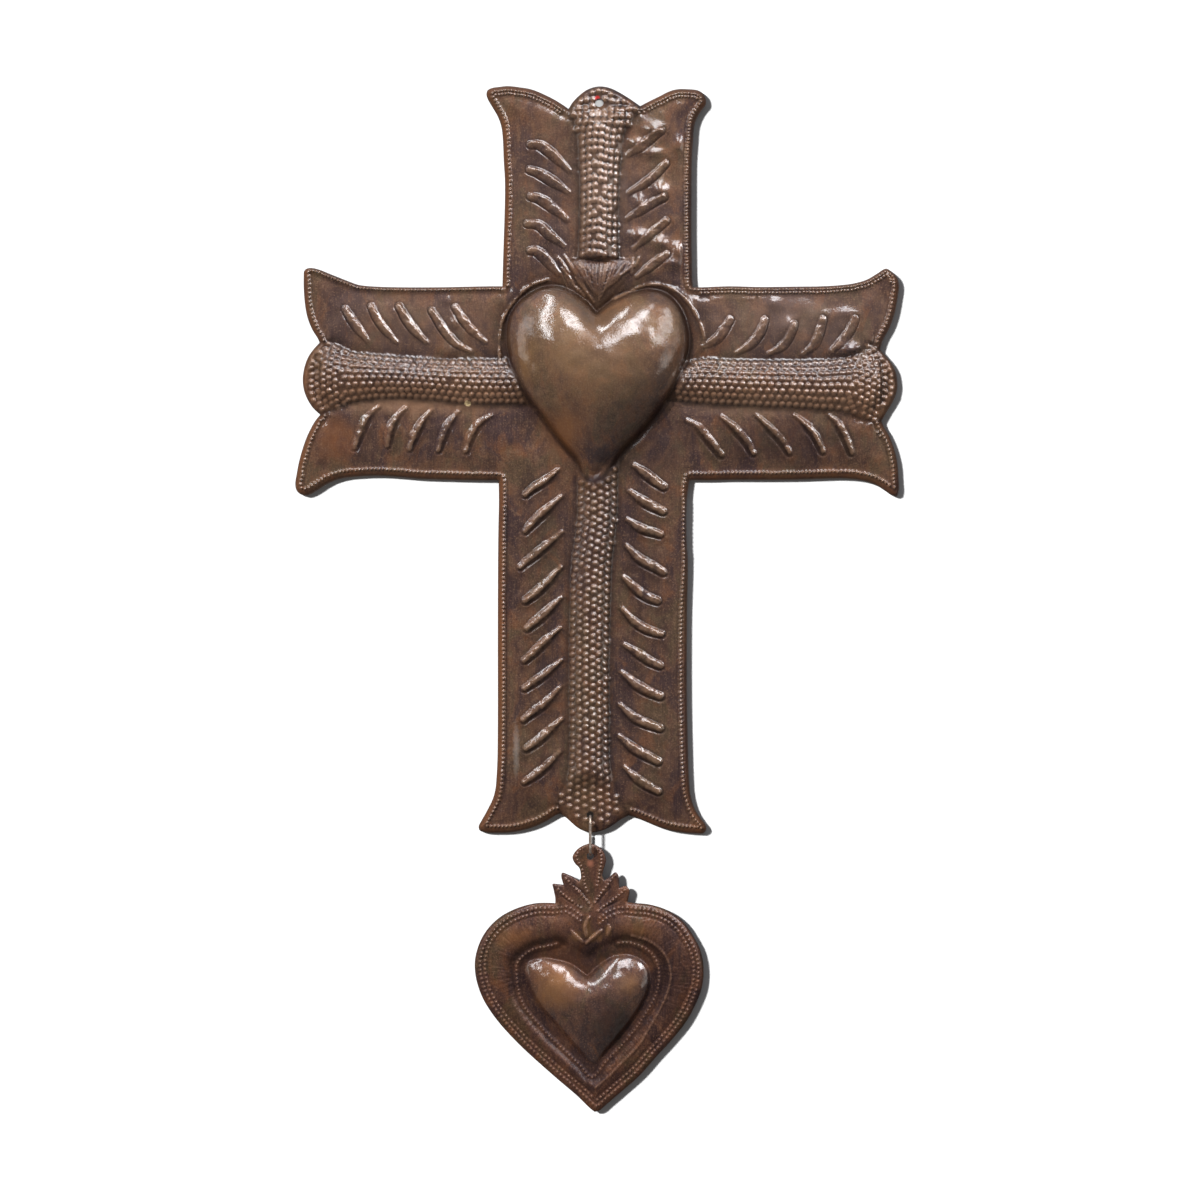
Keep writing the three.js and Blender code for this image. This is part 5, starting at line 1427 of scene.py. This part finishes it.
def metal(name, dark, mid, warm, light, olive, plum, rust, marks=(), chips=(), rough=(0.40, 0.56)):
    """Browned steel under clear lacquer: mottled patina and upright brush lines; hollows darkened by patina and painted
    shade, raised tops lightened as rubbed metal and partly as a painted highlight, and some marks paint light and
    shade.
    """
    n = Nodes(name)
    b = n.new("ShaderNodeBsdfPrincipled")
    n.link(b.outputs[0], n.out.inputs["Surface"])
    broad = n.noise(13, 4, 0.55)
    patch = n.noise(62, 4, 0.62, stretch=(1, 1, 0.55), distortion=0.6)
    blot = n.noise(120, 5, 0.62, stretch=(1, 1, 0.6), distortion=0.7)
    scab = n.noise(240, 5, 0.65, distortion=0.5)
    fine = n.noise(420, 5, 0.65)
    speck = n.noise(1500, 2, 0.5)
    hair = n.noise(1700, 3, 0.55, stretch=(1, 1, 0.045))
    base = n.ramp(broad, ((0.30, dark), (0.43, mid), (0.57, warm), (0.68, mid), (0.80, dark)))
    base = n.mix(n.span(patch, 0.51, 0.59, 0, 0.80), base, olive)
    base = n.mix(n.span(patch, 0.50, 0.40, 0, 0.90), base, plum)
    base = n.mix(n.span(blot, 0.53, 0.64, 0, 0.62), base, rust)
    base = n.mix(n.span(blot, 0.46, 0.36, 0, 0.58), base, dark)
    # rubbed redder metal on the ridges, with painted fill light on the down-facing lower rows of the side arms
    base = n.mix(n.attribute("tone_and_painted_fill"), base, tuple(0.55 * a + 0.45 * c for a, c in zip(rust, light)))
    base = n.mix(n.span(scab, 0.55, 0.72, 0, 0.45), base, light)
    base = n.mix(n.span(fine, 0.42, 0.64, 0, 0.36), base, dark)
    base = n.mix(n.span(hair, 0.42, 0.72, 0, 0.15), base, light)
    base = n.mix(n.span(speck, 0.56, 0.70, 0, 0.45), base, light)
    base = n.mix(n.span(speck, 0.44, 0.30, 0, 0.50), base, dark)
    for u, v, ru, rv, soft, colour, amount in marks:
        base = n.mix(n.math("MULTIPLY", n.near(u, v, ru, rv, soft), amount), base, colour)
    base = n.mix(n.math("MULTIPLY", n.attribute("edge"), n.span(blot, 0.35, 0.6, 0.55, 1.0)), base, rust)
    rel = n.attribute("relief")
    # painted shade with patina: relief below its surroundings and the attribute of dark angles turn the colour
    # near-black
    soot_and_shade = tuple(c * 0.30 for c in dark)
    base = n.mix(n.span(rel, -0.06, -0.34, 0, 0.8), base, soot_and_shade)
    base = n.mix(n.math("MULTIPLY", n.attribute("grime_and_shade"), n.span(blot, 0.25, 0.6, 0.6, 1.0)), base, soot_and_shade)
    # raised tops and crests turn paler: rubbed metal, and partly a painted highlight for their lit side
    base = n.mix(n.math("MULTIPLY", n.span(rel, 0.08, 0.40, 0, 0.62), n.span(n.attribute("tone_and_painted_fill"), 0.0, 0.2, 1.0, 0.6)), base, light)
    for u, v, ru, rv, soft, colour, amount in chips:
        base = n.mix(n.math("MULTIPLY", n.near(u, v, ru, rv, soft), amount), base, colour)
    n.link(base, b.inputs["Base Color"])
    b.inputs["Metallic"].default_value = 0.45
    b.inputs["Specular IOR Level"].default_value = 0.10
    r = n.span(n.math("ADD", n.math("MULTIPLY", blot, 0.6), n.math("MULTIPLY", fine, 0.4)), 0.3, 0.7, rough[0], rough[1])
    n.link(r, b.inputs["Roughness"])
    wear = n.noise(520, 4, 0.65)
    coat = n.math("MULTIPLY", n.attribute("gloss"), n.span(wear, 0.38, 0.58, 0.50, 1.0))
    n.link(n.math("MINIMUM", n.math("MULTIPLY", coat, n.span(rel, 0.05, 0.30, 1.0, 1.8)), 1.0), b.inputs["Coat Weight"])
    n.link(n.span(scab, 0.3, 0.7, 0.04, 0.11), b.inputs["Coat Roughness"])
    b.inputs["Coat IOR"].default_value = 1.65
    micro = n.noise(1200, 3, 0.6)
    bump1 = n.new("ShaderNodeBump")
    bump1.inputs["Strength"].default_value = 0.09
    bump1.inputs["Distance"].default_value = 0.0002
    n.link(hair, bump1.inputs["Height"])
    bump2 = n.new("ShaderNodeBump")
    bump2.inputs["Strength"].default_value = 0.16
    bump2.inputs["Distance"].default_value = 0.0003
    n.link(micro, bump2.inputs["Height"])
    n.link(bump1.outputs[0], bump2.inputs["Normal"])
    bump3 = n.new("ShaderNodeBump")
    bump3.inputs["Distance"].default_value = 0.0005
    n.link(n.math("MULTIPLY", n.span(rel, 0.02, 0.30, 0.05, 0.8), n.span(n.attribute("tone_and_painted_fill"), 0.0, 0.2, 1.0, 0.2)), bump3.inputs["Strength"])
    n.link(n.noise(560, 2, 0.5), bump3.inputs["Height"])
    n.link(bump2.outputs[0], bump3.inputs["Normal"])
    n.link(bump3.outputs[0], b.inputs["Normal"])
    n.link(bump3.outputs[0], b.inputs["Coat Normal"])
    return n.mat


RUST = (0.190, 0.070, 0.024)
# near-black used both for dark patina and for painted shade
SOOT_AND_SHADE = (0.020, 0.011, 0.012)
drum = metal("drum_steel", (0.041, 0.0215, 0.019), (0.100, 0.051, 0.034), (0.138, 0.066, 0.036), (0.246, 0.142, 0.086),
             (0.092, 0.060, 0.033), (0.042, 0.023, 0.026), (0.170, 0.068, 0.030),
             # paler patches over the top arm and the upper panels of the side arms, painted in for their brighter sheen
             marks=((600, 190, 140, 108, 0.9, (0.180, 0.116, 0.090), 0.26), (415, 322, 130, 46, 0.9, (0.190, 0.118, 0.088), 0.42), (790, 322, 130, 46, 0.9, (0.185, 0.121, 0.095), 0.50),
                    # paler lower rows of the side ridges, painted fill light on rows that face down, and a top ridge
                    # painted paler
                    (425, 401, 130, 18, 0.8, (0.330, 0.185, 0.112), 0.62), (770, 404, 125, 17, 0.8, (0.300, 0.180, 0.116), 0.46), (604, 178, 27, 96, 0.6, (0.310, 0.195, 0.140), 0.42),
                    (336, 440, 24, 30, 1.0, RUST, 0.75), (517, 750, 4, 34, 0.9, (0.34, 0.30, 0.27), 0.45),
                    (598, 350, 96, 80, 0.6, (0.190, 0.106, 0.052), 0.48), (526, 365, 16, 34, 0.9, (0.240, 0.125, 0.045), 0.45), (572, 362, 30, 20, 0.9, (0.195, 0.115, 0.052), 0.4),
                    # painted light on the heart's lower left, and painted shade on its right side and lower right,
                    # which face away from the key
                    (566, 432, 28, 36, 0.8, (0.225, 0.096, 0.036), 0.65), (640, 384, 28, 13, 0.9, SOOT_AND_SHADE, 0.3), (640, 438, 56, 44, 0.22, SOOT_AND_SHADE, 0.34), (606, 466, 18, 24, 0.4, SOOT_AND_SHADE, 0.35),
                    # rust along the left edges, and darker patches over the right arm's lower panel, the two foot
                    # flares, the shaft beside its leaves and the top arm's upper left ground
                    (500, 640, 9, 190, 0.8, RUST, 0.7), (507, 200, 7, 100, 0.8, RUST, 0.6), (790, 445, 110, 40, 0.8, SOOT_AND_SHADE, 0.58), (522, 800, 36, 28, 0.9, SOOT_AND_SHADE, 0.35), (668, 795, 42, 34, 0.9, SOOT_AND_SHADE, 0.35), (545, 545, 22, 40, 1.0, SOOT_AND_SHADE, 0.35), (645, 560, 26, 60, 1.0, SOOT_AND_SHADE, 0.35),
                    (300, 400, 12, 120, 0.9, RUST, 0.5), (545, 175, 34, 60, 1.0, SOOT_AND_SHADE, 0.2)),
             # the dark spot at the heart's tip is painted shade; the red and yellow chips are paint marks
             chips=((596, 480, 13, 7, 0.6, SOOT_AND_SHADE, 0.75), (598, 99, 3.2, 3.2, 0.4, (0.45, 0.02, 0.02), 0.9), (468.5, 404.5, 3.6, 3.0, 0.4, (0.80, 0.62, 0.34), 0.95)))
pend_mat = metal("pendant_steel", (0.031, 0.0155, 0.016), (0.078, 0.037, 0.027), (0.122, 0.053, 0.032), (0.215, 0.114, 0.072),
                 (0.072, 0.046, 0.024), (0.036, 0.020, 0.021), (0.155, 0.060, 0.026),
                 # the dark patches on the small heart's lower right and on the flange's right side are painted shade
                 marks=((560, 975, 36, 36, 1.0, RUST, 0.5), (612, 1025, 34, 34, 0.6, SOOT_AND_SHADE, 0.65), (680, 985, 26, 60, 1.0, SOOT_AND_SHADE, 0.5),
                        (516, 938, 28, 16, 0.9, (0.240, 0.100, 0.036), 0.5), (640, 932, 28, 12, 0.9, (0.220, 0.095, 0.036), 0.4), (530, 956, 20, 10, 0.9, SOOT_AND_SHADE, 0.5), (556, 988, 26, 30, 0.8, (0.235, 0.112, 0.042), 0.55), (630, 984, 18, 14, 0.9, (0.220, 0.108, 0.044), 0.5),
                        (588, 927, 7, 13, 0.7, (0.225, 0.110, 0.042), 0.6), (595, 937, 11, 8, 0.7, (0.225, 0.110, 0.042), 0.6), (609, 931, 5, 8, 0.7, (0.225, 0.110, 0.042), 0.6), (577, 937, 9, 7, 0.7, (0.225, 0.110, 0.042), 0.5)),
                 chips=((591, 864, 4.5, 5, 0.8, (0.36, 0.14, 0.085), 0.7),))


def wire_material():
    n = Nodes("wire")
    b = n.new("ShaderNodeBsdfPrincipled")
    n.link(b.outputs[0], n.out.inputs["Surface"])
    grain = n.noise(900, 4, 0.6)
    spot = n.noise(240, 3, 0.6)
    base = n.ramp(grain, ((0.3, (0.30, 0.22, 0.17)), (0.6, (0.50, 0.42, 0.36))))
    base = n.mix(n.span(spot, 0.5, 0.72, 0, 0.7), base, (0.20, 0.10, 0.05))
    n.link(base, b.inputs["Base Color"])
    b.inputs["Metallic"].default_value = 0.9
    n.link(n.span(grain, 0.3, 0.7, 0.3, 0.5), b.inputs["Roughness"])
    bump = n.new("ShaderNodeBump")
    bump.inputs["Strength"].default_value = 0.2
    bump.inputs["Distance"].default_value = 0.0001
    n.link(n.noise(2600, 3, 0.6, stretch=(1, 1, 0.15)), bump.inputs["Height"])
    n.link(bump.outputs[0], b.inputs["Normal"])
    return n.mat


cross.data.materials.append(drum)
pendant.data.materials.append(pend_mat)
link.data.materials.append(wire_material())

for piece, node, body, slot in ((cross, "cross_sheet", "cross", "drum_steel"), (link, "wire_link", "link", "wire"), (pendant, "heart_pendant", "pendant", "pendant_steel")):
    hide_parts(node)
    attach(piece, body)

# ====================================================================== stage


def plane(name, corners):
    m = bpy.data.meshes.new(name)
    m.from_pydata(corners, [], [(0, 1, 2, 3)])
    o = bpy.data.objects.new(name, m)
    bpy.context.scene.collection.objects.link(o)
    return o


WALL_Y = 0.0053
wall = plane("studio_wall", [(-3, WALL_Y, -0.56), (3, WALL_Y, -0.56), (3, WALL_Y, 2.5), (-3, WALL_Y, 2.5)])
floor = plane("studio_floor", [(-3, -4, -0.56), (3, -4, -0.56), (3, 4, -0.56), (-3, 4, -0.56)])
wn = Nodes("studio_white")
wd = wn.new("ShaderNodeBsdfDiffuse")
wd.inputs["Color"].default_value = (0.5, 0.5, 0.5, 1)
wt = wn.new("ShaderNodeBsdfTransparent")
wg = wn.new("ShaderNodeNewGeometry")
wm = wn.new("ShaderNodeMixShader")
wn.link(wg.outputs["Backfacing"], wm.inputs[0])
wn.link(wd.outputs[0], wm.inputs[1])
wn.link(wt.outputs[0], wm.inputs[2])
wn.link(wm.outputs[0], wn.out.inputs["Surface"])
wall.data.materials.append(wn.mat)
wall.visible_shadow = False
wall.visible_diffuse = False
wall.visible_glossy = False
wall.visible_transmission = False
fn = Nodes("studio_floor")
fd = fn.new("ShaderNodeBsdfDiffuse")
fd.inputs["Color"].default_value = (0.82, 0.82, 0.81, 1)
fn.link(fd.outputs[0], fn.out.inputs["Surface"])
floor.data.materials.append(fn.mat)
floor.visible_glossy = False
floor.visible_diffuse = False

world = bpy.data.worlds.new("studio")
bpy.context.scene.world = world
world.use_nodes = True
wt_ = world.node_tree
sky = wt_.nodes["Background"]
tc = wt_.nodes.new("ShaderNodeTexCoord")
sep = wt_.nodes.new("ShaderNodeSeparateXYZ")
ramp = wt_.nodes.new("ShaderNodeValToRGB")
up = wt_.nodes.new("ShaderNodeMapRange")
up.inputs["From Min"].default_value = -1.0
up.inputs["From Max"].default_value = 1.0
wt_.links.new(tc.outputs["Generated"], sep.inputs[0])
wt_.links.new(sep.outputs["Z"], up.inputs["Value"])
wt_.links.new(up.outputs["Result"], ramp.inputs["Fac"])
wt_.links.new(ramp.outputs["Color"], sky.inputs["Color"])
el = ramp.color_ramp.elements
el[0].position, el[0].color = 0.30, (0.22, 0.21, 0.20, 1)
el[1].position, el[1].color = 0.92, (0.48, 0.50, 0.55, 1)
mid_stop = el.new(0.52)
mid_stop.color = (0.17, 0.17, 0.175, 1)
high_stop = el.new(0.74)
high_stop.color = (0.24, 0.245, 0.26, 1)
sky.inputs["Strength"].default_value = 1.0

center = Vector((0, 0, (V0 - 600) * UNIT))


def aimed(name, light, at, aim):
    o = bpy.data.objects.new(name, light)
    o.location = at
    o.rotation_euler = (Vector(aim) - Vector(at)).to_track_quat("-Z", "Y").to_euler()
    bpy.context.scene.collection.objects.link(o)
    return o


def direction(azimuth, elevation, dist):
    """A place round the front, azimuth to the viewer's right, in degrees."""
    a, e = math.radians(azimuth), math.radians(elevation)
    return center + dist * Vector((math.sin(a) * math.cos(e), -math.cos(a) * math.cos(e), math.sin(e)))


def area(name, azimuth, elevation, dist, wide, tall, radiance, colour=(1, 1, 1)):
    l = bpy.data.lights.new(name, "AREA")
    l.shape = "RECTANGLE"
    l.size, l.size_y = wide, tall
    l.energy = radiance * math.pi * wide * tall
    l.color = colour
    return aimed(name, l, direction(azimuth, elevation, dist), center)


sun = bpy.data.lights.new("key", "SUN")
sun.energy = 4.5
sun.angle = math.radians(3)
sun.color = (1.0, 0.97, 0.93)
key = aimed("key", sun, direction(-40, 28, 2), center)
key.visible_glossy = False
boxes = [area("strip_left", -28, 46, 1.6, 0.16, 1.6, 17, (0.95, 0.97, 1.0)),
         area("strip_right", 12, 42, 1.6, 0.50, 0.80, 13, (0.93, 0.95, 1.0)),
         area("box_right", 47, 30, 1.6, 0.50, 0.60, 19, (0.94, 0.96, 1.0)),
         area("soft_left", -52, 28, 1.6, 0.50, 0.60, 2.2, (0.97, 0.97, 1.0))]
for o in boxes:
    o.visible_diffuse = False
boxes.append(area("low_left", -66, 8, 1.8, 0.5, 1.1, 1.9, (1.0, 0.93, 0.86)))
boxes.append(area("low_right", 62, 4, 1.8, 0.6, 1.1, 1.9, (1.0, 0.93, 0.86)))
# the key and the soft boxes shine on the ornament only, so that the wall keeps one crisp shadow
lit = bpy.data.collections.new("lit_by_boxes")
for o in (cross, link, pendant, floor):
    lit.objects.link(o)
for o in boxes + [key]:
    o.light_linking.receiver_collection = lit
# a second key from the same side whitens the wall only, and a thin ray shows it through the nail hole
fill = bpy.data.lights.new("wall_key", "SUN")
fill.energy = 8.6
fill.angle = math.radians(7)
fill_ob = aimed("wall_key", fill, direction(-33, 16, 2), center)
ray = bpy.data.lights.new("hole_ray", "SPOT")
ray.energy = 3.0
ray.spot_size = math.radians(0.8)
ray.spot_blend = 0.3
ray.shadow_soft_size = 0.001
ray_ob = aimed("hole_ray", ray, Vector((0, -0.25, 0)), Vector((0, 0, 0)))
on_wall = bpy.data.collections.new("lit_on_wall")
on_wall.objects.link(wall)
for o in (fill_ob, ray_ob):
    o.light_linking.receiver_collection = on_wall
    o.visible_glossy = False

cam = bpy.data.cameras.new("camera")
cam.sensor_width = 36
cam.lens = 150
cam.clip_end = 50
cam_ob = bpy.data.objects.new("camera", cam)
cam_ob.location = (0.75 * UNIT, -150 / 36 * 1200 * UNIT, center.z - 0.7 * UNIT)
cam_ob.rotation_euler = (math.pi / 2, 0, 0)
bpy.context.scene.collection.objects.link(cam_ob)
bpy.context.scene.camera = cam_ob
bpy.context.scene.view_settings.view_transform = "Standard"
